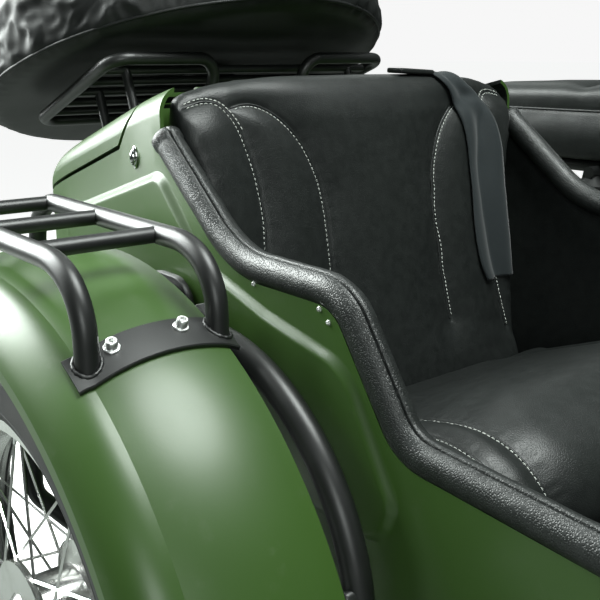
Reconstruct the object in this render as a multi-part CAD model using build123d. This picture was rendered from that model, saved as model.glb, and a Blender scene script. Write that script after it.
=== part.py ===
"""A sidecar motorcycle: a flat-twin motorcycle with a tubular cradle frame and a telescopic fork,
and on its right a steel-bodied sidecar on its own chassis, with a sprung wheel, a wide mudguard
with a luggage rack, a padded seat, and a boot whose lid carries a rack and a covered spare wheel.

X points forward, Y to the left and Z up, in millimetres. While it is built, x = 0 is the sidecar's
axle, y = 0 the motorcycle's middle plane and z = 0 the ground. The finished pieces are then moved so
that the origin is on the ground under the middle of the whole outfit.
"""

import math
import os

from build123d import *

# Wheels, all four alike
tyre_radius = 330.0
tyre_width = 104.0
rim_radius = 240.0
rim_width = 66.0
bead_radius = 232.0
rim_well_depth = 18.0
hub_width = 84.0
hub_flange_radius = 72.0
hub_barrel_radius = 46.0
axle_radius = 10.0
axle_clearance = 0.3
spoke_width = 4.0
spokes_per_side = 18
spoke_sweep_deg = 48.0

# Where the wheels stand
wheelbase = 1490.0
sidecar_lead = 60.0
track = 1160.0

# Steering
rake_deg = 26.0
fork_offset = 55.0
fork_length = 640.0
fork_half_spacing = 98.0
stanchion_diameter = 36.0
slider_diameter = 50.0
slider_length = 330.0
clamp_thickness = 26.0
upper_clamp_height = 105.0
lower_clamp_height = -85.0
stem_diameter = 34.0
head_tube_diameter = 54.0
bearing_clearance = 0.4
bar_half_width = 385.0
bar_diameter = 22.0
bar_rise = 95.0
bar_pull_back = 190.0
grip_length = 120.0
grip_diameter = 34.0
headlight_radius = 92.0
headlight_depth = 118.0

# Motorcycle frame and body
frame_tube = 32.0
cradle_half_width = 105.0
cradle_height = 215.0
seat_rail_height = 770.0
seat_rail_half_width = 95.0
seat_rail_diameter = 22.0
seat_gap = 0.3
tail_reach = 150.0
saddle_top = 915.0
back_crown_z = 939.0
saddle_crown = 28.0
saddle_width = 262.0
mudguard_sheet = 3.0
mudguard_half_width = 62.0
mudguard_gap = 36.0

# Engine
engine_x = 670.0
crank_height = 400.0
crankcase_length = 250.0
crankcase_width = 190.0
crankcase_height = 270.0
cylinder_reach = 338.0
fin_radius = 78.0
fin_root_radius = 60.0
fin_pitch = 16.0
fin_thickness = 6.0
fin_count = 8
gearbox_length = 190.0
exhaust_diameter = 40.0
muffler_diameter = 84.0
muffler_length = 620.0

# Sidecar body
car_mid_y = -682.0
wall = 5.0
lid_gap = 5.0
bead_height = 7.0
trim_diameter = 34.0
seat_half_width = 274.0
seat_clearance = 3.0

# Sidecar chassis
rail_diameter = 42.0
beam_diameter = 34.0
rail_height = 205.0
left_rail_y = -380.0
right_rail_y = -962.0
arm_y = -1054.0
arm_diameter = 32.0
arm_pivot_x = 300.0

# Sidecar mudguard, its hoop and rack
guard_mid_x = 25.0
guard_mid_z = 335.0
guard_radius = 427.0
guard_half_width = 92.0
guard_front_deg = 104.0
guard_rear_deg = -104.0
hoop_y = -1042.0
hoop_diameter = 28.0
hoop_top = 688.0
hoop_front_x = 397.0
hoop_rear_x = -347.0
hoop_bend = 225.0
rack_tube = 22.0
rack_slat = 17.0
rack_height = 787.0
rack_half_length = 200.0
rack_outer_y = -1203.0
rack_inner_y = -1069.0
rack_slat_pitch = 129.0
strap_width = 34.0
strap_thickness = 4.0

# Boot lid, its rack and the spare wheel
lid_tilt_deg = 20.5
lid_hinge_x = -84.0
lid_hinge_z = 908.0
hinge_radius = 9.0
hinge_pin_radius = 4.0
boot_rack_front_x = -223.0
boot_rack_front_z = 957.0
boot_rack_length = 275.0
boot_rack_half_width = 251.0
boot_loop_half_width = 84.0
boot_rack_tube = 18.0
boot_slats = 5
spare_radius = 343.0
spare_thickness = 128.0
spare_mid_x = -398.4
spacer_radius = 80.0
spacer_thickness = 22.0

rear_x = -sidecar_lead
front_x = rear_x + wheelbase
rake = math.radians(rake_deg)
tilt = math.radians(lid_tilt_deg)
wheel_z = tyre_radius
car_wheel_y = -track

pieces = {}


def rod(points, diameter, bend=0.0):
    """A round bar along straight runs, with arcs of radius bend, or one radius for each turn."""
    path = FilletPolyline(*points, radius=bend) if bend and len(points) > 2 else Polyline(*points)
    start = Plane(origin=path @ 0, z_dir=path % 0)
    return sweep(start * Circle(diameter / 2), path=path)


def pin(start, end, diameter, sides=0):
    """A straight bar between two points, round or with a number of flat sides."""
    along = Vector(*end) - Vector(*start)
    base = Plane(origin=start, z_dir=along.normalized())
    face = RegularPolygon(diameter / 2, sides) if sides else Circle(diameter / 2)
    return extrude(base * face, amount=along.length)


def plate(outline, y_from, y_to):
    """A side-view outline of (x, z) points made solid between two y values."""
    face = Plane.XZ * make_face(Polyline(*outline, close=True))
    solid = extrude(face, amount=y_to - y_from, dir=(0, 1, 0))
    return Location((0, y_from, 0)) * solid


def block(x_span, y_span, z_span, radius=0.0):
    """A box between two corners, with all edges rounded if a radius is given."""
    size = [b - a for a, b in (x_span, y_span, z_span)]
    mid = [(a + b) / 2 for a, b in (x_span, y_span, z_span)]
    box = Location(mid) * Box(*size)
    return fillet(box.edges(), radius) if radius else box


def turned(outline):
    """A closed outline of (radius, y) points turned about the Y axis."""
    return revolve(make_face(Polyline(*outline, close=True)), axis=Axis.Y)


# Wheels: tyre, rim, hub and laced spokes, made once about the origin and then placed
def make_tyre():
    half = tyre_width / 2
    bead = rim_width / 2 - 3
    shoulder = tyre_radius - 16
    mid = (bead_radius + tyre_radius) / 2 - 8
    lip = rim_radius + 1
    outline = (
        Line((bead_radius, bead), (bead_radius, -bead))
        + Line((bead_radius, -bead), (lip, -bead))
        + ThreePointArc((lip, -bead), (mid, -half), (shoulder, -half * 0.86))
        + ThreePointArc((shoulder, -half * 0.86), (tyre_radius, 0), (shoulder, half * 0.86))
        + ThreePointArc((shoulder, half * 0.86), (mid, half), (lip, bead))
        + Line((lip, bead), (bead_radius, bead))
    )
    return revolve(make_face(outline), axis=Axis.Y)


def make_wheel():
    half = rim_width / 2
    seat = half - 2.7
    well = bead_radius - rim_well_depth + 8
    inner = bead_radius - rim_well_depth
    side = [
        (rim_radius, half),
        (rim_radius, seat),
        (bead_radius - 0.3, seat),
        (bead_radius - 0.3, seat * 0.5),
        (well, seat * 0.3),
    ]
    back = [(inner, seat * 0.36), (inner + 10, seat * 0.66), (inner + 13, half)]
    outline = side + [(r, -y) for r, y in reversed(side)] + [(r, -y) for r, y in back[::-1]] + back
    rim = turned(outline)
    flange = hub_width / 2
    web = flange - 8
    hub_side = [
        (axle_radius + axle_clearance, flange + 6),
        (28, flange + 6),
        (34, flange),
        (hub_flange_radius, flange),
        (hub_flange_radius, web),
        (hub_barrel_radius, web - 8),
    ]
    hub = turned(hub_side + [(r, -y) for r, y in reversed(hub_side)])
    sweep_angle = math.radians(spoke_sweep_deg)
    step = 2 * math.pi / spokes_per_side
    spokes = []
    for side_sign in (1, -1):
        for n in range(spokes_per_side):
            turn = sweep_angle if n % 2 else -sweep_angle
            at_hub = n * step + side_sign * step / 4
            at_rim = at_hub + turn
            r_hub = hub_flange_radius - 6
            r_rim = inner + 2
            a = (r_hub * math.cos(at_hub), side_sign * (web + 4), r_hub * math.sin(at_hub))
            b = (r_rim * math.cos(at_rim), side_sign * 7, r_rim * math.sin(at_rim))
            spokes.append(pin(a, b, spoke_width, sides=4))
    return rim.fuse(hub, *spokes)


def drum_cover(radius, width):
    """A round brake plate with a stepped rim, about the origin."""
    outline = [(axle_radius + axle_clearance, 0), (radius, 0), (radius, width * 0.6)]
    outline += [(radius * 0.86, width * 0.8), (radius * 0.4, width), (axle_radius + axle_clearance, width)]
    return turned(outline)


tyre = make_tyre()
wheel = make_wheel()
wheel_places = {
    "rear": (rear_x, 0, wheel_z),
    "front": (front_x, 0, wheel_z),
    "sidecar": (0, car_wheel_y, wheel_z),
}
for place, at in wheel_places.items():
    pieces[place + "_tyre"] = Location(at) * tyre
    pieces[place + "_wheel"] = Location(at) * wheel


# Front end, modelled in a plane whose z runs up the steering axis
axis_foot = Vector(
    front_x - fork_offset * math.cos(rake), 0, wheel_z - fork_offset * math.sin(rake)
)
head = axis_foot + Vector(-math.sin(rake), 0, math.cos(rake)) * fork_length
steer = Plane(
    origin=head,
    x_dir=(math.cos(rake), 0, math.sin(rake)),
    z_dir=(-math.sin(rake), 0, math.cos(rake)),
)
axle_drop = fork_length
legs = []
for side in (1, -1):
    y = side * fork_half_spacing
    stanchion = pin((fork_offset, y, -axle_drop + 40), (fork_offset, y, upper_clamp_height + 20), stanchion_diameter)
    slider = pin((fork_offset, y, -axle_drop - 22), (fork_offset, y, -axle_drop + slider_length), slider_diameter)
    collar = pin(
        (fork_offset, y, -axle_drop + slider_length),
        (fork_offset, y, -axle_drop + slider_length + 22),
        slider_diameter + 10,
    )
    legs.append(stanchion.fuse(slider, collar))
pieces["fork_legs"] = steer * Compound(children=legs)


def fork_clamp(z):
    """A plate that carries both fork tubes and the stem, bored to pass the tubes."""
    reach = fork_half_spacing + stanchion_diameter * 0.9
    body = Location((fork_offset / 2, 0, z)) * Box(fork_offset + 52, 58, clamp_thickness)
    body = fillet(body.edges().filter_by(Axis.Z), 27)
    arms = Location((fork_offset, 0, z)) * Box(56, 2 * reach, clamp_thickness)
    arms = fillet(arms.edges().filter_by(Axis.Z), 24)
    clamp = body.fuse(arms)
    for side in (1, -1):
        y = side * fork_half_spacing
        clamp -= pin((fork_offset, y, z - 30), (fork_offset, y, z + 30), stanchion_diameter + 0.1)
    return clamp


stem = pin((0, 0, lower_clamp_height - 10), (0, 0, upper_clamp_height + 10), stem_diameter)
crown = fork_clamp(upper_clamp_height).fuse(fork_clamp(lower_clamp_height), stem)
pieces["fork_clamps"] = steer * crown

hub_end = hub_width / 2 + 6
hub_play = 1.0
leg_face = fork_half_spacing - slider_diameter / 2
front_axle = pin((0, -fork_half_spacing - 34, 0), (0, fork_half_spacing + 34, 0), 2 * axle_radius)
for y in (fork_half_spacing, -fork_half_spacing):
    pieces["fork_legs"] -= Location(wheel_places["front"]) * pin((0, y - 40, 0), (0, y + 40, 0), 2 * axle_radius)
sleeve = pin((0, -leg_face - 4, 0), (0, -hub_end - hub_play, 0), 32)
pieces["front_axle"] = Location(wheel_places["front"]) * front_axle.fuse(sleeve) - pieces["fork_legs"]
brake_side = hub_end + hub_play
front_brake = Location((front_x, brake_side, wheel_z)) * drum_cover(64, 16)
brake_boss = pin((front_x, brake_side + 15, wheel_z), (front_x, leg_face + 4, wheel_z), 34)
pieces["front_brake"] = front_brake.fuse(brake_boss) - pieces["fork_legs"] - pieces["front_axle"]

bar_z = upper_clamp_height + clamp_thickness / 2 + 22
bar_half_centre = 60.0
bar_points = [
    (-bar_pull_back, bar_half_width, bar_z + bar_rise),
    (-bar_pull_back * 0.3, bar_half_width * 0.62, bar_z + bar_rise),
    (10, bar_half_width * 0.36, bar_z),
]
bar_line = bar_points + [(x, -y, z) for x, y, z in reversed(bar_points)]
bar = rod(bar_line, bar_diameter, 45)
risers = [
    Location((10, side * bar_half_centre, bar_z - 13)) * Box(34, 26, 18.0) for side in (1, -1)
]
pieces["handlebar"] = steer * bar.fuse(*risers)

grips = []
levers = []
for side in (1, -1):
    end = Vector(-bar_pull_back, side * bar_half_width, bar_z + bar_rise)
    knee = Vector(-bar_pull_back * 0.3, side * bar_half_width * 0.62, bar_z + bar_rise)
    along = (knee - end).normalized()
    outer = end - along * 4
    grip = pin(tuple(outer), tuple(outer + along * grip_length), grip_diameter)
    hole = pin(tuple(end - along * 0.2), tuple(end + along * (grip_length + 45)), bar_diameter + 0.1)
    grips.append(grip - hole)
    perch = outer + along * (grip_length + 16)
    housing = pin(tuple(perch - along * 13), tuple(perch + along * 13), 38)
    pivot = perch + Vector(38, 0, 6)
    tip = outer + Vector(52, side * 4, 4)
    lever = pin(tuple(pivot), tuple(tip), 11).fuse(pin(tuple(perch), tuple(pivot), 16))
    stalk_top = perch + Vector(0, side * 40, 150)
    stalk = pin(tuple(perch), tuple(stalk_top), 9)
    glass = Location(tuple(stalk_top)) * (Rotation(0, 90, 0) * Cylinder(52, 16))
    levers.append(housing.fuse(lever, stalk, glass) - hole)
pieces["grips"] = steer * Compound(children=grips)
pieces["levers_and_mirrors"] = steer * Compound(children=levers)

lamp_x = fork_offset + 140.0
lamp_z = -20.0
shell_outline = [
    (0, -headlight_depth),
    (headlight_radius * 0.55, -headlight_depth * 0.92),
    (headlight_radius * 0.9, -headlight_depth * 0.5),
    (headlight_radius, -12),
    (headlight_radius + 5, -12),
    (headlight_radius + 5, 0),
    (0, 0),
]
lens_outline = [(0, 0.0), (headlight_radius - 3, 0), (headlight_radius * 0.7, 13), (0, 20)]
face_forward = Plane(
    origin=steer.from_local_coords(Vector(lamp_x, 0, lamp_z)), x_dir=(0, 1, 0), z_dir=(0, 0, 1)
)
lamp_pose = Location(tuple(face_forward.origin)) * Rotation(0, 0, -90)
ears = []
for side in (1, -1):
    ears.append(Location((fork_offset + 56, side * fork_half_spacing, lamp_z + 20)) * Box(112, 7, 46))
shell = lamp_pose * turned(shell_outline)
pieces["headlight_shell"] = shell
pieces["headlight_lens"] = lamp_pose * turned(lens_outline)
ear_solids = []
for side, ear in zip((1, -1), ears):
    bolt = lamp_pose * Location((-side * (fork_half_spacing - 12), -34, 0)) * (Rotation(0, 90, 0) * Cylinder(9, 36))
    solid = (steer * ear).fuse(bolt) - pieces["headlight_shell"]
    solid -= steer * pin(
        (fork_offset, side * fork_half_spacing, -70), (fork_offset, side * fork_half_spacing, 90), stanchion_diameter
    )
    ear_solids.append(solid.solids().sort_by(SortBy.VOLUME)[-1])
pieces["headlight_ears"] = Compound(children=ear_solids)
dial = Location((12, 0, bar_z + 26)) * Cylinder(44, 46)
dial_foot = Location((12, 0, bar_z - 4)) * Cylinder(14, 20)
pieces["speedometer"] = steer * (dial - pin((10, -80, bar_z), (10, 80, bar_z), bar_diameter + 1))


# Mudguards of the motorcycle: a crowned sheet turned round the axle through part of a circle
def guard_section(radius, half_width, crown_rise, skirt):
    """Outline in (radius, y) of a crowned sheet with short skirts."""
    rim = radius - crown_rise
    def contour(inset):
        return [
            (rim - skirt, half_width - inset),
            (rim - inset * 0.5, half_width - inset),
            (radius - inset, 0.0),
            (rim - inset * 0.5, -half_width + inset),
            (rim - skirt, -half_width + inset),
        ]
    outer, inner = contour(0), contour(mudguard_sheet)
    sheet = (
        Line(outer[0], outer[1])
        + ThreePointArc(outer[1], outer[2], outer[3])
        + Line(outer[3], outer[4])
        + Line(outer[4], inner[4])
        + Line(inner[4], inner[3])
        + ThreePointArc(inner[3], inner[2], inner[1])
        + Line(inner[1], inner[0])
        + Line(inner[0], outer[0])
    )
    return make_face(sheet)


def ring_part(section, from_deg, to_deg):
    """Turns a (radius, y) section about Y from one angle to another, measured forward from the top."""
    sweep_deg = to_deg - from_deg
    start = Rotation(0, -90 + from_deg, 0)
    return start * revolve(section, axis=Axis.Y, revolution_arc=sweep_deg)


guard_r = tyre_radius + mudguard_gap
bike_section = guard_section(guard_r, mudguard_half_width, 20, 20)
front_guard = ring_part(bike_section, -92, 38)
rear_guard = ring_part(bike_section, -92, 42)
def guard_point(deg, lift=0.0):
    """A point on the mudguard's crown, at an angle measured forward from the top."""
    a = math.radians(deg)
    return (guard_r + lift) * math.sin(a), (guard_r + lift) * math.cos(a)


front_stays = []
for side in (1, -1):
    y = side * (mudguard_half_width - 1)
    for deg, foot_x, foot_z in ((-74, -24, 66), (18, -4, 78)):
        x, z = guard_point(deg, -31)
        front_stays.append(pin((foot_x, side * (leg_face + 2), foot_z), (x, y + side * 3, z), 9))
    x, z = guard_point(-rake_deg, -31)
    reach = leg_face + 8
    lug = Location((x, side * (y * side + reach) / 2, z)) * (Rotation(0, -rake_deg, 0) * Box(34, reach - y * side, 22))
    front_stays.append(lug)
front_guard = Location(wheel_places["front"]) * front_guard.fuse(*front_stays)
pieces["front_mudguard"] = front_guard - pieces["fork_legs"]
rear_guard = Location(wheel_places["rear"]) * rear_guard
guard_edge = guard_r - 20
for side in (1, -1):
    for x in (-150.0, -30.0):
        z = wheel_z + math.sqrt(guard_edge**2 - (x - rear_x) ** 2) - 3
        stay = pin((x, side * (mudguard_half_width - 3), z), (x, side * (seat_rail_half_width - 2), seat_rail_height), 12)
        rear_guard = rear_guard.fuse(stay)

# Frame: a head tube with backbone, two cradle tubes, and the seat rails
head_low = steer.from_local_coords(Vector(0, 0, lower_clamp_height + clamp_thickness / 2 + 1))
head_high = steer.from_local_coords(Vector(0, 0, upper_clamp_height - clamp_thickness / 2 - 1))
seat_front_x = 500.0
backbone_end = (seat_front_x, 0, seat_rail_height)
head_tube = pin(tuple(head_low), tuple(head_high), head_tube_diameter)
stem_bore = pin(tuple(head_low - steer.z_dir * 5), tuple(head_high + steer.z_dir * 5), stem_diameter + 2 * bearing_clearance)
backbone_start = steer.from_local_coords(Vector(-10, 0, 20))
backbone = pin(tuple(backbone_start), backbone_end, frame_tube + 12)
rail_end_x = rear_x - tail_reach
seat_loop = rod(
    [
        (seat_front_x, 0, seat_rail_height),
        (seat_front_x - 70, seat_rail_half_width, seat_rail_height),
        (rail_end_x, seat_rail_half_width, seat_rail_height),
        (rail_end_x, -seat_rail_half_width, seat_rail_height),
        (seat_front_x - 70, -seat_rail_half_width, seat_rail_height),
        (seat_front_x, 0, seat_rail_height),
    ],
    seat_rail_diameter,
    24,
)
pieces["frame_backbone"] = head_tube.fuse(backbone, seat_loop) - stem_bore
pieces["rear_mudguard"] = rear_guard - seat_loop
down_top = steer.from_local_coords(Vector(-10, 0, -45))
cradle_front_x = 850.0
cradle_rear_x = 348.0
pivot_x = cradle_rear_x - 34
pivot_z = wheel_z + 30
pivot_half = 84.0
for name, side in (("left", 1), ("right", -1)):
    y = side * cradle_half_width
    line = [
        (down_top.X - 16, side * 30, down_top.Z - 30),
        (cradle_front_x, y, cradle_height),
        (cradle_rear_x, y, cradle_height),
        (cradle_rear_x - 30, side * seat_rail_half_width, seat_rail_height - 12),
    ]
    lug = pin((pivot_x, side * (pivot_half + 0.3), pivot_z), (pivot_x, side * (cradle_half_width + 14), pivot_z), 46)
    pieces["frame_cradle_" + name] = rod(line, frame_tube, 70).fuse(lug) - head_tube - seat_loop - backbone

# Engine: crankcase with timing cover, two finned cylinders, gearbox, carburettors and pipes
case_low = crank_height - crankcase_height / 2
crankcase = block(
    (engine_x - crankcase_length / 2, engine_x + crankcase_length / 2),
    (-crankcase_width / 2, crankcase_width / 2),
    (case_low + 10, case_low + crankcase_height),
    22,
)
timing = Location((engine_x + crankcase_length / 2, 0, crank_height + 10)) * (Rotation(0, 90, 0) * Cylinder(92, 44))
alternator = Location((engine_x - 10, 0, crank_height + crankcase_height / 2 + 30)) * (Rotation(0, 90, 0) * Cylinder(52, 150))
sump = block(
    (engine_x - 110, engine_x + 110), (-70, 70), (case_low - 28, case_low + 40), 14
)
lugs = [
    block((x - 16, x + 16), sorted((s * 66, s * (cradle_half_width + 6))), (cradle_height + 6, case_low + 24))
    for x in (engine_x - 85, engine_x + 85)
    for s in (1, -1)
]
crankcase = crankcase.fuse(timing, alternator, sump, *lugs)
pieces["crankcase"] = crankcase - pieces["frame_cradle_left"] - pieces["frame_cradle_right"]
gear_rear = engine_x - crankcase_length / 2 - gearbox_length
pieces["gearbox"] = block(
    (gear_rear, engine_x - crankcase_length / 2 - 0.3), (-80, 80), (case_low + 40, crank_height + 90), 20
).fuse(Location((gear_rear + 60, 0, crank_height - 30)) * (Rotation(90, 0, 0) * Cylinder(46, 150)))
cylinder_x = engine_x + 40
for name, side in (("left", 1), ("right", -1)):
    start = crankcase_width / 2 + 0.3
    outline = [(0, start)]
    y = start + 6
    outline.append((fin_root_radius, start))
    for n in range(fin_count):
        outline += [
            (fin_root_radius, y),
            (fin_radius, y),
            (fin_radius, y + fin_thickness),
            (fin_root_radius, y + fin_thickness),
        ]
        y += fin_pitch
    head_y = y
    outline += [(fin_root_radius, head_y), (fin_radius - 2, head_y), (fin_radius - 2, head_y + 46)]
    outline += [(fin_radius - 26, cylinder_reach), (0, cylinder_reach)]
    barrel = turned(outline)
    ports = pin((-60, head_y + 22, 10), (-118, head_y + 8, 30), 44)
    barrel = barrel.fuse(ports)
    if side < 0:
        barrel = mirror(barrel, about=Plane.XZ)
    pieces["cylinder_" + name] = Location((cylinder_x, 0, crank_height)) * barrel
    carb = block((-172, -119), (head_y - 22, head_y + 36), (2, 74), 12)
    hose = pin((-172, head_y + 6, 40), (-270, 118, 92), 46)
    carb = carb.fuse(hose) - pin((-60, head_y + 22, 10), (-118, head_y + 8, 30), 44)
    if side < 0:
        carb = mirror(carb, about=Plane.XZ)
    pieces["carburettor_" + name] = Location((cylinder_x, 0, crank_height)) * carb
    header = rod(
        [
            (cylinder_x + 66, side * (head_y + 20), crank_height - 26),
            (cylinder_x + 128, side * (head_y + 20), crank_height - 52),
            (cylinder_x + 128, side * 200, cradle_height + 10),
            (cylinder_x - 120, side * 178, cradle_height - 32),
        ]
        + (
            [(gear_rear - 40, side * 178, cradle_height - 32)]
            if side > 0
            else [(cylinder_x - 200, side * 178, 152), (cylinder_x - 200, 178, 152)]
        ),
        exhaust_diameter,
        34,
    )
    pieces["exhaust_pipe_" + name] = header - pieces["cylinder_" + name]
pieces["exhaust_pipe_right"] -= pieces["exhaust_pipe_left"]
muffler_x = gear_rear - 40
muffler_turn = [
    (0, 0),
    (exhaust_diameter / 2 + 4, 0),
    (muffler_diameter / 2, 70),
    (muffler_diameter / 2, muffler_length - 40),
    (muffler_diameter / 2 - 16, muffler_length),
    (0, muffler_length),
]
pieces["muffler"] = Location((muffler_x - 0.3, 178, cradle_height - 32)) * (Rotation(0, 0, 90) * turned(muffler_turn))

# Drive and rear suspension
drive_y = -86.0
axle_nut_y, axle_end_y = 114.0, 134.0
final_case = Location((rear_x, drive_y, wheel_z)) * (Rotation(90, 0, 0) * Cylinder(78, 34))
arm_end = pivot_x - 30
shaft = pin((rear_x + 40, drive_y, wheel_z + 8), (arm_end, -79, pivot_z), 40)
left_arm = pin((rear_x - 20, 86, wheel_z), (arm_end, 79, pivot_z), 40)
gussets = [
    block((arm_end - 16, pivot_x), sorted((s * 61, s * (pivot_half - 0.4))), (pivot_z - 17, pivot_z + 17))
    for s in (1, -1)
]
cross = pin((pivot_x, -pivot_half, pivot_z), (pivot_x, pivot_half, pivot_z), 38)
rear_sleeves = [
    pin((rear_x, s * (hub_end + hub_play), wheel_z), (rear_x, s * 74, wheel_z), 32) for s in (1, -1)
]
rear_axle = pin((rear_x, -120, wheel_z), (rear_x, axle_end_y, wheel_z), 2 * axle_radius)
axle_nut = extrude(Plane((rear_x, 96, wheel_z), z_dir=(0, 1, 0)) * RegularPolygon(16, 6), axle_nut_y - 96)
pieces["rear_swingarm"] = final_case.fuse(shaft, left_arm, cross, rear_axle, axle_nut, *rear_sleeves, *gussets)


def spring_strut(low, high, wire_radius, body_radius, coils):
    """A damper with a spring drawn as a stack of rings."""
    low, high = Vector(*low), Vector(*high)
    length = (high - low).length
    outline = [(0, 0), (12, 0), (12, length * 0.18)]
    pitch = length * 0.66 / coils
    for n in range(coils):
        base = length * 0.18 + n * pitch
        outline += [(body_radius - 7, base), (body_radius, base + pitch * 0.25)]
        outline += [(body_radius, base + pitch * 0.6), (body_radius - 7, base + pitch * 0.85)]
    outline += [(body_radius + 3, length * 0.85), (body_radius + 3, length * 0.95), (0, length)]
    column = turned(outline)
    up = Plane(origin=tuple(low), x_dir=(0, 1, 0), z_dir=(high - low).normalized())
    return up * (Rotation(90, 0, 0) * column)


shock_y = 128.0
shock_foot = (rear_x + 40, wheel_z + 10)
shock_head = (rear_x + 62, seat_rail_height - 6)
rear_shocks = []
for s in (1, -1):
    low, high = (shock_foot[0], s * shock_y, shock_foot[1]), (shock_head[0], s * shock_y, shock_head[1])
    strut = spring_strut(low, high, 8, 29, 8)
    for x, z in (shock_foot, shock_head):
        strut = strut.fuse(pin((x, s * (seat_rail_half_width - 6), z), (x, s * (shock_y + 16), z), 20))
    strut = strut - seat_loop - pieces["rear_swingarm"]
    rear_shocks.append(strut.solids().sort_by(SortBy.VOLUME)[-1])
pieces["rear_shocks"] = Compound(children=rear_shocks)

# Tank, saddle, side boxes, tail lamp, footrests
tank_table = [
    # x, half width, low z, high z
    (560.0, 62.0, 806.0, 872.0),
    (700.0, 118.0, 782.0, 930.0),
    (860.0, 142.0, 776.0, 966.0),
    (970.0, 128.0, 800.0, 966.0),
    (1032.0, 66.0, 838.0, 930.0),
]


def rounded_section(x, mid_y, half, low, high, r_low, r_high):
    """A closed upright section at x, made of four lines and four arcs."""
    face = Plane(origin=(x, mid_y, (low + high) / 2), x_dir=(0, 1, 0), z_dir=(1, 0, 0)) * Rectangle(2 * half, high - low)
    corners = face.vertices().sort_by(Axis.Z)
    face = fillet(corners[:2], r_low) if False else face
    return _round_corners(x, mid_y, half, low, high, r_low, r_high)


def _round_corners(x, mid_y, half, low, high, r_low, r_high):
    y0, y1 = mid_y - half, mid_y + half
    k = 1 - math.sqrt(0.5)
    def p(y, z):
        return (x, y, z)
    edges = [
        Line(p(y0 + r_low, low), p(y1 - r_low, low)),
        ThreePointArc(p(y1 - r_low, low), p(y1 - r_low * k, low + r_low * k), p(y1, low + r_low)),
        Line(p(y1, low + r_low), p(y1, high - r_high)),
        ThreePointArc(p(y1, high - r_high), p(y1 - r_high * k, high - r_high * k), p(y1 - r_high, high)),
        Line(p(y1 - r_high, high), p(y0 + r_high, high)),
        ThreePointArc(p(y0 + r_high, high), p(y0 + r_high * k, high - r_high * k), p(y0, high - r_high)),
        Line(p(y0, high - r_high), p(y0, low + r_low)),
        ThreePointArc(p(y0, low + r_low), p(y0 + r_low * k, low + r_low * k), p(y0 + r_low, low)),
    ]
    return make_face(edges)


tank_sections = []
for x, half, low, high in tank_table:
    r_top = min(half, high - low) * 0.62
    r_bottom = min(half, high - low) * 0.3
    tank_sections.append(_round_corners(x, 0, half, low, high, r_bottom, r_top))
tank = loft(tank_sections)
tunnel = pin(tuple(backbone_start), backbone_end, frame_tube + 12 + 2 * seat_gap)
cap = Location((850, 0, 968)) * Cylinder(30, 22)
pieces["fuel_tank"] = tank.fuse(cap) - tunnel - seat_loop - pin(tuple(head_low), tuple(head_high), head_tube_diameter + 12)

saddle_low = seat_rail_height + seat_rail_diameter / 2 + seat_gap
saddle_outline = [
    (rear_x - 190, saddle_low + 14),
    (rear_x - 190, saddle_top - 6),
    (rear_x + 180, saddle_top),
    (rear_x + 290, saddle_top - 38),
    (rear_x + 560, saddle_top - 34),
    (rear_x + 610, saddle_top - 44),
    (rear_x + 604, saddle_low),
    (rear_x - 176, saddle_low),
]
saddle = plate(saddle_outline, -saddle_width / 2, saddle_width / 2)
side_edges = saddle.edges().filter_by(Axis.Y, reverse=True)
crown_z = saddle_top - 60
saddle = fillet(side_edges.filter_by(lambda e: e.center().Z > crown_z), saddle_crown)
pieces["saddle"] = saddle - pin(tuple(backbone_start), backbone_end, frame_tube + 12 + 2 * seat_gap)

box_x = (140.0, 290.0)
for name, side in (("left", 1), ("right", -1)):
    ys = sorted((side * (mudguard_half_width + 6), side * (mudguard_half_width + 58)))
    hanger = block((200, 236), sorted((side * 84, side * 106)), (720, seat_rail_height))
    pieces["side_box_" + name] = block(box_x, ys, (560, 742), 14).fuse(hanger) - seat_loop

lamp_bracket_x = rail_end_x - 14
pieces["tail_lamp"] = block((rear_x - 210, rail_end_x - 11.3), (-52, 52), (726, 780), 6)
rests = []
for side in (1, -1):
    rest = pin((500, side * 205, 262), (500, side * 88, 262), 24)
    arm = pin((500, side * cradle_half_width, 262), (500, side * cradle_half_width, cradle_height), 20)
    rests.append((rest.fuse(arm)) - pieces["frame_cradle_left"] - pieces["frame_cradle_right"])
pieces["footrests"] = Compound(children=[r.solids().sort_by(SortBy.VOLUME)[-1] for r in rests])

# Sidecar body: a shell lofted through rounded sections, opened for the cockpit and the boot lid
hull_table = [
    # x, half width, low z, high z, low corner radius, high corner radius
    (-398.0, 268.0, 330.0, 772.0, 60.0, 22.0),
    (-345.0, 292.0, 275.0, 816.0, 70.0, 26.0),
    (-60.0, 308.0, 240.0, 914.0, 80.0, 32.0),
    (60.0, 315.0, 236.0, 936.0, 80.0, 32.0),
    (600.0, 312.0, 236.0, 800.0, 90.0, 80.0),
    (800.0, 284.0, 244.0, 752.0, 100.0, 110.0),
    (1040.0, 216.0, 276.0, 676.0, 110.0, 120.0),
    (1200.0, 142.0, 330.0, 586.0, 95.0, 95.0),
    (1262.0, 74.0, 388.0, 520.0, 50.0, 50.0),
]


def hull(inset):
    """The body's outer form, or its inner face when inset by the wall."""
    sections = []
    last = len(hull_table) - 1
    for n, (x, half, low, high, r_low, r_high) in enumerate(hull_table):
        shift = inset if n == 0 else -inset if n == last else 0
        sections.append(
            _round_corners(
                x + shift, car_mid_y, half - inset, low + inset, high - inset, r_low - inset, r_high - inset
            )
        )
    return loft(sections)


trim_side = [
    # x, distance from the body's middle, z of the padded edge, bend radius
    (0.0, 306.0, 872.0, 0.0),
    (150.0, 309.0, 752.0, 150.0),
    (318.0, 310.0, 751.0, 52.0),
    (402.0, 309.0, 629.0, 52.0),
    (640.0, 300.0, 610.0, 90.0),
    (800.0, 262.0, 742.0, 60.0),
]


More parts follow.
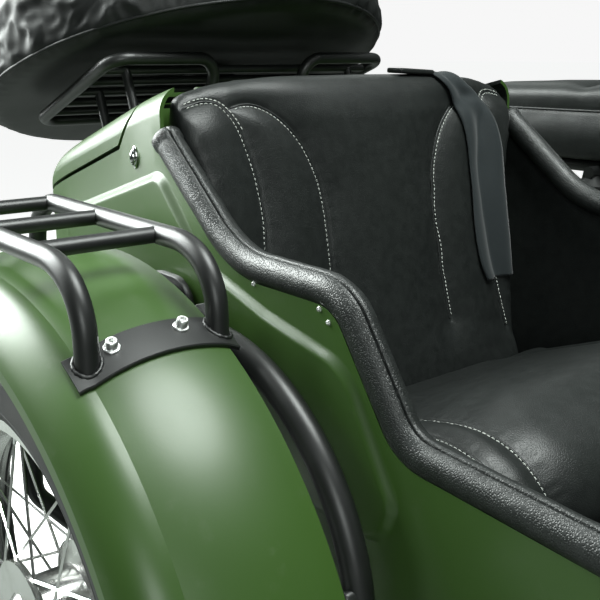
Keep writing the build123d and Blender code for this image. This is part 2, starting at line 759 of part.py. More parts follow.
def cockpit_prism(reach):
    """Everything above the padded edge, from the seat back to the scuttle, as a side-view prism."""
    line = [(x, z) for x, _, z, _ in trim_side]
    radii = [r for *_, r in trim_side[1:-1]]
    edge = FilletPolyline(*line, radius=radii)
    top = 1100
    closing = Polyline((line[-1][0], line[-1][1]), (line[-1][0] + 10, top), (-12, top), (line[0][0], line[0][1]))
    face = Plane.XZ * make_face([*edge.edges(), *closing.edges()])
    prism = extrude(face, amount=2 * reach, dir=(0, 1, 0))
    return Location((0, car_mid_y - reach, 0)) * prism


outer = hull(0)
inner = hull(wall)
shell = outer - inner
lid_line = [
    (lid_hinge_x, 1000.0),
    (lid_hinge_x, 892.0),
    (-116.0, 853.0),
    (-351.0, 778.0),
    (-420.0, 750.0),
    (-420.0, 1000.0),
]
lid_zone = plate(lid_line, car_mid_y - 400, car_mid_y + 400)
hinge_x = lid_hinge_x + lid_gap / 2
lid_space = plate(
    [
        (lid_hinge_x + lid_gap, 1000.0),
        (lid_hinge_x + lid_gap, 892.0 - 2),
        (-116.0 + 3, 853.0 - lid_gap),
        (-351.0, 778.0 - lid_gap),
        (-420.0, 750.0 - lid_gap),
        (-420.0, 1000.0),
    ],
    car_mid_y - 400,
    car_mid_y + 400,
)
trim_points = [(x, car_mid_y + off, z) for x, off, z, _ in trim_side]
trim_points += [(x, car_mid_y - off, z) for x, off, z, _ in reversed(trim_side)]
trim_radii = [r for *_, r in trim_side[1:]]
trim_radii = trim_radii + trim_radii[::-1]
trim_path = FilletPolyline(*trim_points, radius=trim_radii)


def along_trim(diameter):
    start = Plane(origin=trim_path @ 0, z_dir=trim_path % 0)
    return sweep(start * Circle(diameter / 2), path=trim_path)


trim = along_trim(trim_diameter)
trim_room = along_trim(trim_diameter + 0.8)
tub = shell - lid_space - cockpit_prism(420)
seat_well = block((-44, 140), (car_mid_y - 290, car_mid_y + 290), (700, 1000))
tub = tub - seat_well - trim_room
seat_foot_z = 475.0
back_front_foot, back_front_head = (105.0, seat_foot_z), (20.0, 900.0)
back_foot, back_head = (19.0, seat_foot_z), (-37.0, 900.0)
back_lean = (back_head[0] - back_foot[0]) / (back_head[1] - back_foot[1])
bulkhead_foot = back_foot[0] - seat_gap * 1.1 + back_lean * (250 - back_foot[1])
bulkhead_head = back_head[0] - seat_gap * 1.1
bulkhead_line = [
    (bulkhead_foot - wall, 250.0),
    (bulkhead_foot, 250.0),
    (bulkhead_head, back_head[1]),
    (bulkhead_head - wall, back_head[1]),
]
bulkhead = plate(bulkhead_line, car_mid_y - 330, car_mid_y + 330) & inner
tub = tub.fuse(bulkhead)
panel_line = [
    # x, z, corner radius of the panel pressed into each side
    (-290.0, 526.0, 22.0),
    (374.0, 526.0, 24.0),
    (410.0, 562.0, 20.0),
    (338.0, 696.0, 70.0),
    (214.0, 718.0, 120.0),
    (96.0, 748.0, 90.0),
    (0.0, 836.0, 36.0),
    (-290.0, 752.0, 22.0),
]
panel_edge = FilletPolyline(*[(x, z) for x, z, _ in panel_line], radius=[r for *_, r in panel_line], close=True)
panel = Plane.XZ * make_face(panel_edge)
panel_prism = Location((0, car_mid_y - 420, 0)) * extrude(panel, amount=840, dir=(0, 1, 0))
raised = (hull(-bead_height) - outer) & panel_prism
tub = tub.fuse(*raised.solids())
pieces["sidecar_tub"] = tub
lid = shell & lid_zone
top_edge = (outer & plate([(hinge_x - 0.5, 600), (hinge_x + 0.5, 600), (hinge_x + 0.5, 1000), (hinge_x - 0.5, 1000)], car_mid_y - 5, car_mid_y + 5)).bounding_box().max.Z
hinge_z = top_edge + hinge_radius - 4
for side in (1, -1):
    inner_y, joint_y, outer_y = (car_mid_y + side * d for d in (150, 180, 210))
    at = (hinge_x, hinge_z)
    fixed = pin((hinge_x, inner_y, hinge_z), (hinge_x, joint_y, hinge_z), 2 * hinge_radius)
    leaf = block((hinge_x, hinge_x + 26), sorted((inner_y, joint_y)), (hinge_z - hinge_radius, hinge_z - 2)) - outer
    bore = pin((hinge_x, inner_y - side, hinge_z), (hinge_x, joint_y + side, hinge_z), 2 * hinge_pin_radius + 0.6)
    tub = tub.fuse(fixed.fuse(leaf)) - bore
    moving = pin((hinge_x, joint_y + side * 0.5, hinge_z), (hinge_x, outer_y, hinge_z), 2 * hinge_radius)
    strap = block((hinge_x - 26, hinge_x), sorted((joint_y + side * 0.5, outer_y)), (hinge_z - hinge_radius, hinge_z - 2)) - outer
    spindle = pin((hinge_x, inner_y, hinge_z), (hinge_x, outer_y, hinge_z), 2 * hinge_pin_radius)
    lid = lid - pin(
        (hinge_x, inner_y - side * 0.5, hinge_z), (hinge_x, joint_y + side * 0.5, hinge_z), 2 * hinge_radius + 1
    )
    tub = tub - pin((hinge_x, joint_y, hinge_z), (hinge_x, outer_y + side * 0.5, hinge_z), 2 * hinge_radius + 1)
    lid = lid.fuse(moving.fuse(strap), spindle)
pieces["boot_lid"] = lid
pieces["sidecar_tub"] = tub
pieces["cockpit_trim"] = trim

cushion_line = [
    # x, z of the seat cushion from its foot behind, over the top and down its front
    (back_front_foot[0] + 1.0, seat_foot_z),
    (97.0, 520.0),
    (162.0, 545.0),
    (258.0, 584.0),
    (340.0, 614.0),
    (395.0, 624.0),
    (440.0, 615.0),
    (472.0, 592.0),
    (492.0, 552.0),
    (480.0, seat_foot_z),
]
cushion_face = Plane.XZ * make_face(
    Polyline(*cushion_line[:2]).edges()
    + Spline(*cushion_line[1:-1]).edges()
    + Polyline(cushion_line[-2], cushion_line[-1], cushion_line[0]).edges()
)
cushion = extrude(cushion_face, amount=2 * seat_half_width, dir=(0, 1, 0))
cushion = Location((0, car_mid_y - seat_half_width, 0)) * cushion
back_line = [
    back_front_foot, back_front_head, (6.0, 926.0), (-10.0, back_crown_z), (-28.0, back_crown_z), back_head, back_foot,
]
back = plate(back_line, car_mid_y - seat_half_width, car_mid_y + seat_half_width)
crown = Plane.YZ * make_face(
    Polyline((-seat_half_width, 400), (-seat_half_width, 862)).edges()
    + ThreePointArc((-seat_half_width, 862), (-seat_half_width + 24, 896), (-seat_half_width + 66, 915)).edges()
    + ThreePointArc((-seat_half_width + 66, 915), (0, back_crown_z - 1), (seat_half_width - 66, 915)).edges()
    + ThreePointArc((seat_half_width - 66, 915), (seat_half_width - 24, 896), (seat_half_width, 862)).edges()
    + Polyline((seat_half_width, 862), (seat_half_width, 400), (-seat_half_width, 400)).edges()
)
back = back & (Location((-100, car_mid_y, 0)) * extrude(crown, amount=400, dir=(1, 0, 0)))
pieces["seat_cushion"] = cushion
pieces["seat_back"] = back
base = block((56, 470), (car_mid_y - 262, car_mid_y + 262), (200, seat_foot_z - seat_gap))
pieces["seat_base"] = base & hull(wall + seat_gap)

# Boot rack, spacer and covered spare wheel, in a plane laid along the lid
rack_plane = Plane(
    origin=(boot_rack_front_x, car_mid_y, boot_rack_front_z),
    x_dir=(-math.cos(tilt), 0, -math.sin(tilt)),
    z_dir=(-math.sin(tilt), 0, math.cos(tilt)),
)
half = boot_rack_half_width
frame_loops = []
for side in (1, -1):
    loop = rod(
        [
            (34, side * boot_loop_half_width, -40),
            (0, side * boot_loop_half_width, 0),
            (0, side * half, 0),
            (boot_rack_length, side * half, 0),
            (boot_rack_length, side * 6, 0),
        ],
        boot_rack_tube,
        30,
    )
    frame_loops.append(loop)
slats = []
slat_pitch = boot_rack_length / (boot_slats + 1)
for n in range(1, boot_slats + 1):
    slats.append(pin((n * slat_pitch, -half, 0), (n * slat_pitch, half, 0), boot_rack_tube * 0.7))
rear_joint = pin((boot_rack_length, -12, 0), (boot_rack_length, 12, 0), boot_rack_tube)
feet = []
for x in (slat_pitch, 3 * slat_pitch):
    for side in (1, -1):
        feet.append(pin((x, side * (half - 42), 0), (x, side * (half - 42), -130), 14))
rack = frame_loops[0].fuse(frame_loops[1], rear_joint, *slats, *feet)
rack = rack_plane * rack
pieces["boot_rack"] = rack - outer
spare_along = (boot_rack_front_x - spare_mid_x) / math.cos(tilt) + spare_thickness * 0.2
spacer_low = boot_rack_tube * 0.35 + 0.3
spacer = pin((spare_along, 0, spacer_low), (spare_along, 0, spacer_low + spacer_thickness), 2 * spacer_radius)
pieces["spare_spacer"] = rack_plane * spacer
cover = pin(
    (spare_along, 0, spacer_low + spacer_thickness + 0.3),
    (spare_along, 0, spacer_low + spacer_thickness + 0.3 + spare_thickness),
    2 * spare_radius,
)
pieces["spare_cover"] = rack_plane * fillet(cover.edges(), 34)

# Sidecar chassis: two rails, cross beams, struts to the motorcycle, and the wheel's arm
rail_span = (-330.0, 1010.0)
rails = [pin((rail_span[0], y, rail_height), (rail_span[1], y, rail_height), rail_diameter) for y in (left_rail_y, right_rail_y)]
pieces["chassis_rails"] = Compound(children=rails)
beam_places = (-290.0, 60.0, 420.0, 900.0)
beams = []
for x in beam_places:
    beam = pin((x, left_rail_y, rail_height), (x, right_rail_y, rail_height), beam_diameter)
    beams.append(beam - rails[0] - rails[1])
pads = []
for x in (-290.0, 60.0, 420.0, 900.0):
    for y in (car_mid_y - 120, car_mid_y + 120):
        pad = pin((x, y, rail_height), (x, y, rail_height + 140), 44) - outer
        pads.append(pad.solids().sort_by(Axis.Z)[0])
beams = [b.fuse(pads[2 * n], pads[2 * n + 1]) for n, b in enumerate(beams)]
pieces["chassis_beams"] = Compound(children=[b.solids()[0] for b in beams])
strut_table = [
    # x and z on the sidecar's left rail, x, y and z on the motorcycle's frame
    (120.0, 430.0, -128.0, 232.0),
    (950.0, 862.0, -125.0, 262.0),
]
struts = []
for x_rail, x_bike, y_bike, z_bike in strut_table:
    strut = pin((x_rail, left_rail_y, rail_height), (x_bike, y_bike + 20, z_bike), 30)
    struts.append(strut - rails[0] - pieces["frame_cradle_right"])
upper_table = [
    (250.0, 384.0, -110.0, 560.0),
    (960.0, 938.0, -80.0, 520.0),
]
for x_rail, x_bike, y_bike, z_bike in upper_table:
    strut = pin((x_rail, left_rail_y, rail_height), (x_bike, y_bike, z_bike), 26)
    struts.append(strut - rails[0] - pieces["frame_cradle_right"])
pieces["link_struts"] = Compound(children=[s.solids().sort_by(SortBy.VOLUME)[-1] for s in struts])

arm = pin((arm_pivot_x, arm_y, rail_height), (0, arm_y, wheel_z), arm_diameter)
pivot = pin((arm_pivot_x, right_rail_y, rail_height), (arm_pivot_x, arm_y - 20, rail_height), 30)
stub = pin((0, arm_y + 16, wheel_z), (0, car_wheel_y - hub_end - 18, wheel_z), 2 * axle_radius)
axle_nut = pin((0, car_wheel_y - hub_end - hub_play, wheel_z), (0, car_wheel_y - hub_end - 14, wheel_z), 32)
brake_width = 22.0
plate_face = car_wheel_y + brake_side + brake_width
boss = pin((0, arm_y + 20, wheel_z), (0, plate_face, wheel_z), 56)
pieces["sidecar_arm"] = arm.fuse(pivot, stub, boss, axle_nut) - rails[1]
sidecar_brake = Location((0, car_wheel_y + brake_side, wheel_z)) * drum_cover(78, brake_width)
pieces["sidecar_brake"] = sidecar_brake - stub

tower_y = -1024.0
mount_x, mount_z = 16.0, 688.0
tower = rod(
    [
        (84, right_rail_y, rail_height),
        (84, tower_y, rail_height + 66),
        (84, tower_y, mount_z - 90),
        (mount_x + 6, tower_y, mount_z - 14),
    ],
    20,
    30,
)
ear = Plane.XZ * make_face(
    FilletPolyline(
        (mount_x - 50, mount_z + 27), (mount_x + 50, mount_z + 27), (mount_x, mount_z - 52), radius=16, close=True
    )
)
ear = Location((0, tower_y + 12, 0)) * extrude(ear, amount=7, dir=(0, 1, 0))
roller = pin((mount_x, tower_y - 42, mount_z), (mount_x, tower_y + 15, mount_z), 34)
housing = block((mount_x - 32, mount_x + 47), (tower_y - 35, tower_y + 6), (mount_z - 21, mount_z + 25), 6)
pieces["shock_tower"] = tower.fuse(ear, roller, housing) - rails[1]

# Sidecar mudguard, hoop and rack
guard_y = car_wheel_y
gi = guard_y + guard_half_width
go = guard_y - guard_half_width


def car_guard_section(lift, sheet):
    """Outline in (radius, y) of the wide mudguard, lifted off its sheet by lift, sheet thick."""
    def contour(off):
        return [
            (guard_radius - 7 + off, gi),
            (guard_radius + off, gi - 62),
            (guard_radius - 14 + off, go + 46 + off * 0.3),
            (guard_radius - 26 + off, go + 16 - off * 0.5),
            (guard_radius - 52, go - off),
            (guard_radius - 64, go - off),
        ]
    a, b = contour(lift), contour(lift - sheet)
    lines = (
        ThreePointArc(a[0], a[1], a[2])
        + ThreePointArc(a[2], a[3], a[4])
        + Line(a[4], a[5])
        + Line(a[5], b[5])
        + Line(b[5], b[4])
        + ThreePointArc(b[4], b[3], b[2])
        + ThreePointArc(b[2], b[1], b[0])
        + Line(b[0], a[0])
    )
    return make_face(lines)


guard_at = Location((guard_mid_x, 0, guard_mid_z))
pieces["sidecar_mudguard"] = guard_at * ring_part(car_guard_section(0, mudguard_sheet), guard_rear_deg, guard_front_deg)
guard_top_space = guard_at * ring_part(
    make_face(Polyline((guard_radius - 7, gi - 30), (guard_radius + 60, gi - 30), (guard_radius + 60, gi + 60),
                       (guard_radius - 7, gi + 60), close=True)),
    -175,
    175,
)
arch_low = 300.0
hoop = rod(
    [
        (hoop_rear_x + 38, right_rail_y, rail_height),
        (hoop_rear_x, hoop_y, arch_low),
        (hoop_rear_x, hoop_y, hoop_top),
        (hoop_front_x, hoop_y, hoop_top),
        (hoop_front_x, hoop_y, arch_low),
        (hoop_front_x - 38, right_rail_y, rail_height),
    ],
    hoop_diameter,
    [40, hoop_bend, hoop_bend, 40],
)
clips = []
for deg in (-66, -18, 22, 66):
    clip = Location((0, (hoop_y + gi - 12) / 2, guard_radius - 22)) * Box(26, hoop_y - gi + 12, 44)
    clips.append(guard_at * Rotation(0, deg, 0) * clip)
hoop = hoop.fuse(*clips) - rails[1] - pieces["sidecar_mudguard"] - guard_top_space - pieces["shock_tower"]
pieces["guard_hoop"] = hoop

rack_mid_x = 8.0
base_z = 690.0
bars = []
for y in (rack_outer_y, rack_inner_y):
    line = [
        (rack_mid_x - rack_half_length, y, base_z),
        (rack_mid_x - rack_half_length, y, rack_height),
        (rack_mid_x + rack_half_length, y, rack_height),
        (rack_mid_x + rack_half_length, y, base_z),
    ]
    bars.append(rod(line, rack_tube, 62))
for n in (-1, 0, 1):
    x = rack_mid_x - 17 + n * rack_slat_pitch
    bars.append(pin((x, rack_outer_y, rack_height), (x, rack_inner_y, rack_height), rack_slat))
sheet_top = guard_at * ring_part(car_guard_section(0.0, 60), guard_rear_deg, guard_front_deg)
straps = []
strap_face = car_guard_section(strap_thickness + 0.3, strap_thickness)
trim_y = Location((guard_radius, (rack_outer_y + rack_inner_y) / 2)) * Rectangle(120, rack_inner_y - rack_outer_y + rack_tube)
strap_face = strap_face & trim_y
leg_angle = math.degrees(math.asin((rack_half_length + rack_mid_x - guard_mid_x) / guard_radius))
strap_half = math.degrees(strap_width / 2 / guard_radius)
for sign in (1, -1):
    mid = leg_angle if sign > 0 else -math.degrees(math.asin((rack_half_length - rack_mid_x + guard_mid_x) / guard_radius))
    straps.append(guard_at * ring_part(strap_face, mid - strap_half, mid + strap_half))
guard_solid = guard_at * ring_part(car_guard_section(0.3, 80), guard_rear_deg, guard_front_deg)
frame = bars[0].fuse(*bars[1:])
legs_trimmed = frame - guard_solid
pieces["mudguard_rack"] = legs_trimmed.solids().sort_by(SortBy.VOLUME)[-1].fuse(*straps)

# Lamps of the sidecar and the towing eye
lamp_stub = Rotation(0, 72, 0) * (Location((0, car_wheel_y, guard_radius)) * Cylinder(27, 64))
pieces["sidecar_lamp"] = guard_at * lamp_stub - guard_solid
tail_stub = Rotation(0, -76, 0) * (Location((0, car_wheel_y, guard_radius)) * Cylinder(24, 56))
pieces["sidecar_tail_lamp"] = guard_at * tail_stub - guard_solid
shock = spring_strut((30, arm_y, wheel_z + 17), (mount_x + 3, arm_y, mount_z + 9), 8, 27, 7)
pieces["sidecar_shock"] = shock - pieces["sidecar_arm"] - pieces["shock_tower"] - pieces["guard_hoop"]
eye_x = rail_span[0] - 26
eye = Location((eye_x, left_rail_y, rail_height)) * Cylinder(24, 14)
shank = block((eye_x - 4, rail_span[0]), (left_rail_y - 12, left_rail_y + 12), (rail_height - 7, rail_height + 7))
eye_hole = Location((eye_x, left_rail_y, rail_height)) * Cylinder(12, 40)
pieces["tow_eye"] = eye.fuse(shank) - eye_hole

# The whole outfit is moved so that its origin is on the ground under its middle
whole = Compound(children=[s for p in pieces.values() for s in p.solids()]).bounding_box()
origin_x = round((whole.min.X + whole.max.X) / 2, 1)
origin_y = round((whole.min.Y + whole.max.Y) / 2, 1)

groups = {
    "frame_cradle": ("frame_cradle_left", "frame_cradle_right"),
    "cylinders": ("cylinder_left", "cylinder_right"),
    "carburettors": ("carburettor_left", "carburettor_right"),
    "exhaust_pipes": ("exhaust_pipe_left", "exhaust_pipe_right"),
    "side_boxes": ("side_box_left", "side_box_right"),
    "chassis": ("chassis_rails", "chassis_beams"),
}
for name, members in groups.items():
    pieces[name] = Compound(children=[s for m in members for s in pieces.pop(m).solids()])

if __name__ == "__main__":
    os.makedirs("parts", exist_ok=True)
    for name, shape in pieces.items():
        solids = shape.solids()
        moved = [Location((-origin_x, -origin_y, 0)) * s for s in solids]
        export_step(moved[0] if len(moved) == 1 else Compound(children=moved), f"parts/{name}.step")
    print("origin", origin_x, origin_y, "size", whole.size, "hinge", hinge_x, hinge_z)
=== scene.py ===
"""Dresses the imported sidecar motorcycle: paint, hide, rubber, stitching, tread, bolts and cloth."""

import math

import bmesh
import bpy
import numpy as np
from mathutils import Matrix, Vector, noise
from mathutils.bvhtree import BVHTree
from mathutils.kdtree import KDTree


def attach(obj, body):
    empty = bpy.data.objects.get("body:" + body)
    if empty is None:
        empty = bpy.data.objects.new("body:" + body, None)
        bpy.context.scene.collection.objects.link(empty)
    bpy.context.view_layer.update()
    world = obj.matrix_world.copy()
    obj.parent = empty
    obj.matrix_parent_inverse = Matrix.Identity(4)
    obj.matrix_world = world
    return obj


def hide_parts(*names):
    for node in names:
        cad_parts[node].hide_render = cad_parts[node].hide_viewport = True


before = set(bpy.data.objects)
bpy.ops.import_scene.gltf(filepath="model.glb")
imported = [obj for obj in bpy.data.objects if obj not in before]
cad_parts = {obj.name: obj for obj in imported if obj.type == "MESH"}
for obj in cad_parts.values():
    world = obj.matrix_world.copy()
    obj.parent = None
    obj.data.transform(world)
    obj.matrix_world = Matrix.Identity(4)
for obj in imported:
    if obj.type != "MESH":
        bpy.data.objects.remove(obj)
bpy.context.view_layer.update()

# The photographer's place: outside the sidecar's front corner, looking back and across at the boot
camera_at = Vector((0.4094, -1.0877, 0.959))
heading = math.radians(38.97)
dip = math.radians(15.29)
focal_pixels = 889.5
picture_width = 600.0
sensor_width = 36.0
look = Vector((-math.cos(heading) * math.cos(dip), math.sin(heading) * math.cos(dip), -math.sin(dip)))
lens_data = bpy.data.cameras.new("photo_camera")
lens_data.sensor_width = sensor_width
lens_data.lens = sensor_width * focal_pixels / picture_width
lens_data.clip_start = 0.02
camera = bpy.data.objects.new("photo_camera", lens_data)
camera.location = camera_at
camera.rotation_mode = "QUATERNION"
camera.rotation_quaternion = look.to_track_quat("-Z", "Y")
bpy.context.scene.collection.objects.link(camera)
bpy.context.scene.camera = camera
bpy.context.scene.view_settings.view_transform = "Standard"

# A pale studio floor, a pale backdrop that only the world gives, and four soft lamps
bpy.ops.object.select_all(action="DESELECT")
bpy.ops.mesh.primitive_plane_add(size=300, location=(0, 0, 0))
floor = bpy.context.object
floor.name = "studio_floor"
pale = bpy.data.materials.new("studio_floor")
pale.use_nodes = True
pale_tree = pale.node_tree
bright = pale_tree.nodes["Principled BSDF"]
bright.inputs["Base Color"].default_value = (0.86, 0.87, 0.86, 1)
bright.inputs["Roughness"].default_value = 0.8
bright.inputs["Emission Color"].default_value = (1, 1, 1, 1)
bright.inputs["Emission Strength"].default_value = 0.84
dull = pale_tree.nodes.new("ShaderNodeBsdfDiffuse")
dull.inputs[0].default_value = (0.16, 0.17, 0.16, 1)
floor_ray = pale_tree.nodes.new("ShaderNodeLightPath")
floor_mix = pale_tree.nodes.new("ShaderNodeMixShader")
pale_tree.links.new(floor_ray.outputs["Is Camera Ray"], floor_mix.inputs[0])
pale_tree.links.new(dull.outputs[0], floor_mix.inputs[1])
pale_tree.links.new(bright.outputs[0], floor_mix.inputs[2])
pale_tree.links.new(floor_mix.outputs[0], pale_tree.nodes["Material Output"].inputs[0])
floor.data.materials.append(pale)
world = bpy.data.worlds.new("studio")
world.use_nodes = True
room = world.node_tree.nodes["Background"]
room.inputs[0].default_value = (0.88, 0.98, 0.93, 1)
room.inputs[1].default_value = 0.10
sky_tree = world.node_tree
seen = sky_tree.nodes.new("ShaderNodeBackground")
seen.inputs[0].default_value = (1, 1, 1, 1)
seen.inputs[1].default_value = 0.93
path_kind = sky_tree.nodes.new("ShaderNodeLightPath")
either = sky_tree.nodes.new("ShaderNodeMixShader")
sky_tree.links.new(path_kind.outputs["Is Camera Ray"], either.inputs[0])
sky_tree.links.new(room.outputs[0], either.inputs[1])
sky_tree.links.new(seen.outputs[0], either.inputs[2])
sky_tree.links.new(either.outputs[0], sky_tree.nodes["World Output"].inputs[0])
bpy.context.scene.world = world
lamps = (
    # name, place, what it is aimed at, width, height, power
    ("left_softbox", (-2.75, -1.65, 2.22), (-0.3, -0.8, 0.75), 2.0, 3.15, 370),
    ("overhead_softbox", (0.3, -0.2, 2.6), (-0.27, -0.9, 0.7), 1.25, 1.25, 80),
    ("front_softbox", (1.7, -1.9, 1.35), (-0.4, -0.8, 0.8), 1.0, 1.0, 20),
    ("back_softbox", (-2.4, 1.4, 2.7), (-0.4, -0.3, 0.7), 2.2, 2.2, 16),
)
for name, place, aim, width, height, power in lamps:
    light = bpy.data.lights.new(name, "AREA")
    light.shape = "ELLIPSE"
    light.size = width
    light.size_y = height
    light.energy = power
    light.color = (0.94, 1.0, 0.97)
    lamp = bpy.data.objects.new(name, light)
    lamp.location = place
    lamp.rotation_mode = "QUATERNION"
    lamp.rotation_quaternion = (Vector(aim) - Vector(place)).to_track_quat("-Z", "Y")
    lamp.visible_camera = False
    bpy.context.scene.collection.objects.link(lamp)


class Wire:
    """One output of a shader node, so that a material's sums read as plain sums."""

    def __init__(self, tree, output):
        self.tree = tree
        self.output = output

    def make(self, kind, feeds, pick=0, **settings):
        """Add a node of this kind, feed its inputs by name or place, and wrap one output."""
        node = self.tree.nodes.new(kind)
        for key, value in settings.items():
            setattr(node, key, value)
        for key, value in feeds.items():
            if isinstance(value, Wire):
                self.tree.links.new(value.output, node.inputs[key])
            else:
                node.inputs[key].default_value = value
        return Wire(self.tree, node.outputs[pick])

    def sum(self, word, *values):
        return self.make("ShaderNodeMath", dict(enumerate(values)), operation=word)

    def __add__(self, other):
        return self.sum("ADD", self, other)

    __radd__ = __add__

    def __mul__(self, other):
        return self.sum("MULTIPLY", self, other)

    __rmul__ = __mul__

    def __sub__(self, other):
        return self.sum("SUBTRACT", self, other)

    def __rsub__(self, other):
        return self.sum("SUBTRACT", other, self)

    def noise(self, scale, detail=2.0, rough=0.5):
        feeds = {"Vector": self, "Scale": scale, "Detail": detail, "Roughness": rough}
        return self.make("ShaderNodeTexNoise", feeds, "Fac")

    def ramp(self, low, high):
        """Nought up to low, one from high on, and a smooth rise between."""
        feeds = {"Value": self, "From Min": low, "From Max": high}
        return self.make("ShaderNodeMapRange", feeds, interpolation_type="SMOOTHSTEP")

    def mix(self, first, second):
        """The first colour where this is nought and the second where it is one."""
        return self.make("ShaderNodeMix", {0: self, 6: first, 7: second}, 2, data_type="RGBA")

    def bump(self, strength, distance):
        feeds = {"Height": self, "Strength": strength, "Distance": distance}
        return self.make("ShaderNodeBump", feeds, "Normal")


def surface(name, metallic=0.0, **plain):
    """A new material with its shader and the place on the object, in metres."""
    mat = bpy.data.materials.new(name)
    mat.use_nodes = True
    tree = mat.node_tree
    shader = tree.nodes["Principled BSDF"]
    shader.inputs["Metallic"].default_value = metallic
    for key, value in plain.items():
        shader.inputs[key.replace("_", " ")].default_value = value
    place = Wire(tree, tree.nodes.new("ShaderNodeTexCoord").outputs["Object"])
    return mat, shader, place


def finish_surface(shader, place, colour, roughness, normal=None):
    """Join the worked-out colour, roughness and normal to the shader."""
    for socket, wire in (("Base Color", colour), ("Roughness", roughness), ("Normal", normal)):
        if wire is not None:
            place.tree.links.new(wire.output, shader.inputs[socket])


# Sidecar tub: a pressed and welded steel shell, painted outside and lined with black hide inside,
# bolted to its chassis. A soft-edged panel is pressed into each side, and its top edge is padded
green_paint, shader, place = surface("moss_green_paint", Coat_Weight=0.12, Coat_Roughness=0.22)
drift = place.noise(3.0, 3.0)
colour = drift.ramp(0.3, 0.7).mix((0.027, 0.066, 0.0095, 1), (0.033, 0.077, 0.0125, 1))
dust = place.noise(38.0, 6.0, 0.7).ramp(0.55, 0.8)
colour = (dust * 0.05).mix(colour, (0.30, 0.31, 0.26, 1))
roughness = 0.36 + 0.08 * place.noise(9.0, 4.0) + 0.06 * dust
peel = place.noise(330.0, 1.0)
finish_surface(shader, place, colour, roughness, peel.bump(0.05, 0.0004))

hide, shader, place = surface("black_hide", Specular_IOR_Level=0.38)
cells = place.make("ShaderNodeTexVoronoi", {"Vector": place, "Scale": 620.0, "Randomness": 0.9}, "Distance")
folds = place.noise(70.0, 4.0, 0.6)
grain = cells.ramp(0.05, 0.6) + 0.5 * folds
colour = folds.ramp(0.3, 0.7).mix((0.0080, 0.0095, 0.0090, 1), (0.0125, 0.0145, 0.0138, 1))
roughness = 0.40 + 0.12 * place.noise(26.0, 3.0) - 0.06 * cells
finish_surface(shader, place, colour, roughness, grain.bump(0.30, 0.0005))


def spot(x, y, z):
    """The maker's millimetres, from the sidecar's axle and the motorcycle's middle, in this frame."""
    return Vector(((x - 485.6) / 1000, (y + 426.3) / 1000, z / 1000))


def new_piece(name, points, faces, materials, smooth_deg=35.0):
    """A finished mesh object in the frame, shaded smooth up to an angle."""
    data = bpy.data.meshes.new(name)
    data.from_pydata([tuple(p) for p in points], [], faces)
    data.update()
    piece = bpy.data.objects.new(name, data)
    bpy.context.scene.collection.objects.link(piece)
    for material in materials:
        data.materials.append(material)
    bpy.ops.object.select_all(action="DESELECT")
    piece.select_set(True)
    bpy.context.view_layer.objects.active = piece
    bpy.ops.object.shade_smooth_by_angle(angle=math.radians(smooth_deg), keep_sharp_edges=False)
    return piece


def rounded(corners, radii, step):
    """Points along straight runs whose corners are arcs of the given radii, about step apart."""
    line = [corners[0]]
    for n in range(1, len(corners) - 1):
        back = (corners[n - 1] - corners[n]).normalized()
        ahead = (corners[n + 1] - corners[n]).normalized()
        radius = radii[n - 1]
        half = back.angle(ahead) / 2
        if radius <= 0 or half > 1.57:
            line.append(corners[n])
            continue
        middle = corners[n] + (back + ahead).normalized() * radius / math.sin(half)
        start = corners[n] + back * radius / math.tan(half) - middle
        end = corners[n] + ahead * radius / math.tan(half) - middle
        count = max(4, int(start.angle(end) * radius / step))
        line += [middle + start.slerp(end, k / count) * radius for k in range(count + 1)]
    line.append(corners[-1])
    spaced = [line[0]]
    for first, second in zip(line, line[1:]):
        count = max(1, round((second - first).length / step))
        spaced += [first.lerp(second, k / count) for k in range(1, count + 1)]
    return spaced


def side_spot(x, z):
    """A place on the body's side, seen square on, with nought across."""
    return spot(x, 0, z) * Vector((1, 0, 1))


def merged_copy(node):
    """A CAD node's mesh with its loose triangles joined, to work on."""
    copy = bmesh.new()
    copy.from_mesh(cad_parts[node].data)
    bmesh.ops.remove_doubles(copy, verts=copy.verts, dist=1e-5)
    copy.verts.index_update()
    return copy


def mesh_lists(mesh):
    """The points and faces of a worked mesh, which is then let go."""
    points = [v.co.copy() for v in mesh.verts]
    faces = [[v.index for v in f.verts] for f in mesh.faces]
    mesh.free()
    return points, faces


body_mid = -682
mid_y = spot(0, body_mid, 0).y
panel_table = (
    # x, z, corner radius of the pressed panel
    (-290, 526, 22), (374, 526, 24), (410, 562, 20), (338, 696, 70),
    (214, 718, 120), (96, 748, 90), (0, 836, 36), (-290, 752, 22),
)
corners = [side_spot(x, z) for x, z, _ in panel_table]
radii = [r / 1000 for *_, r in panel_table]
join = (corners[0] + corners[1]) / 2
panel_ring = rounded([join, *corners[1:], corners[0], join], radii[1:] + radii[:1], 0.003)[:-1]
corners[1:3] = [side_spot(388, 528), side_spot(406, 578)]
radii[1:3] = [0.038, 0.030]
shown_ring = rounded([join, *corners[1:], corners[0], join], radii[1:] + radii[:1], 0.0007)[:-1]
shown_tree = KDTree(len(shown_ring))
for n, place in enumerate(shown_ring):
    shown_tree.insert(place, n)
shown_tree.balance()


def ring_distance(x, z):
    """How far a place on the side lies from the panel's outline, less than nought inside it."""
    inside = False
    nearest = 9.0
    for first, second in zip(panel_ring, panel_ring[1:] + panel_ring[:1]):
        if (first.z > z) != (second.z > z):
            if x < first.x + (z - first.z) * (second.x - first.x) / (second.z - first.z):
                inside = not inside
        nearest = min(nearest, math.hypot(first.x - x, first.z - z))
    return -nearest if inside else nearest


def half_width(x):
    """The tub's half width along its sides, evened out, in this frame's metres."""
    return np.polyval(half_fit, x)


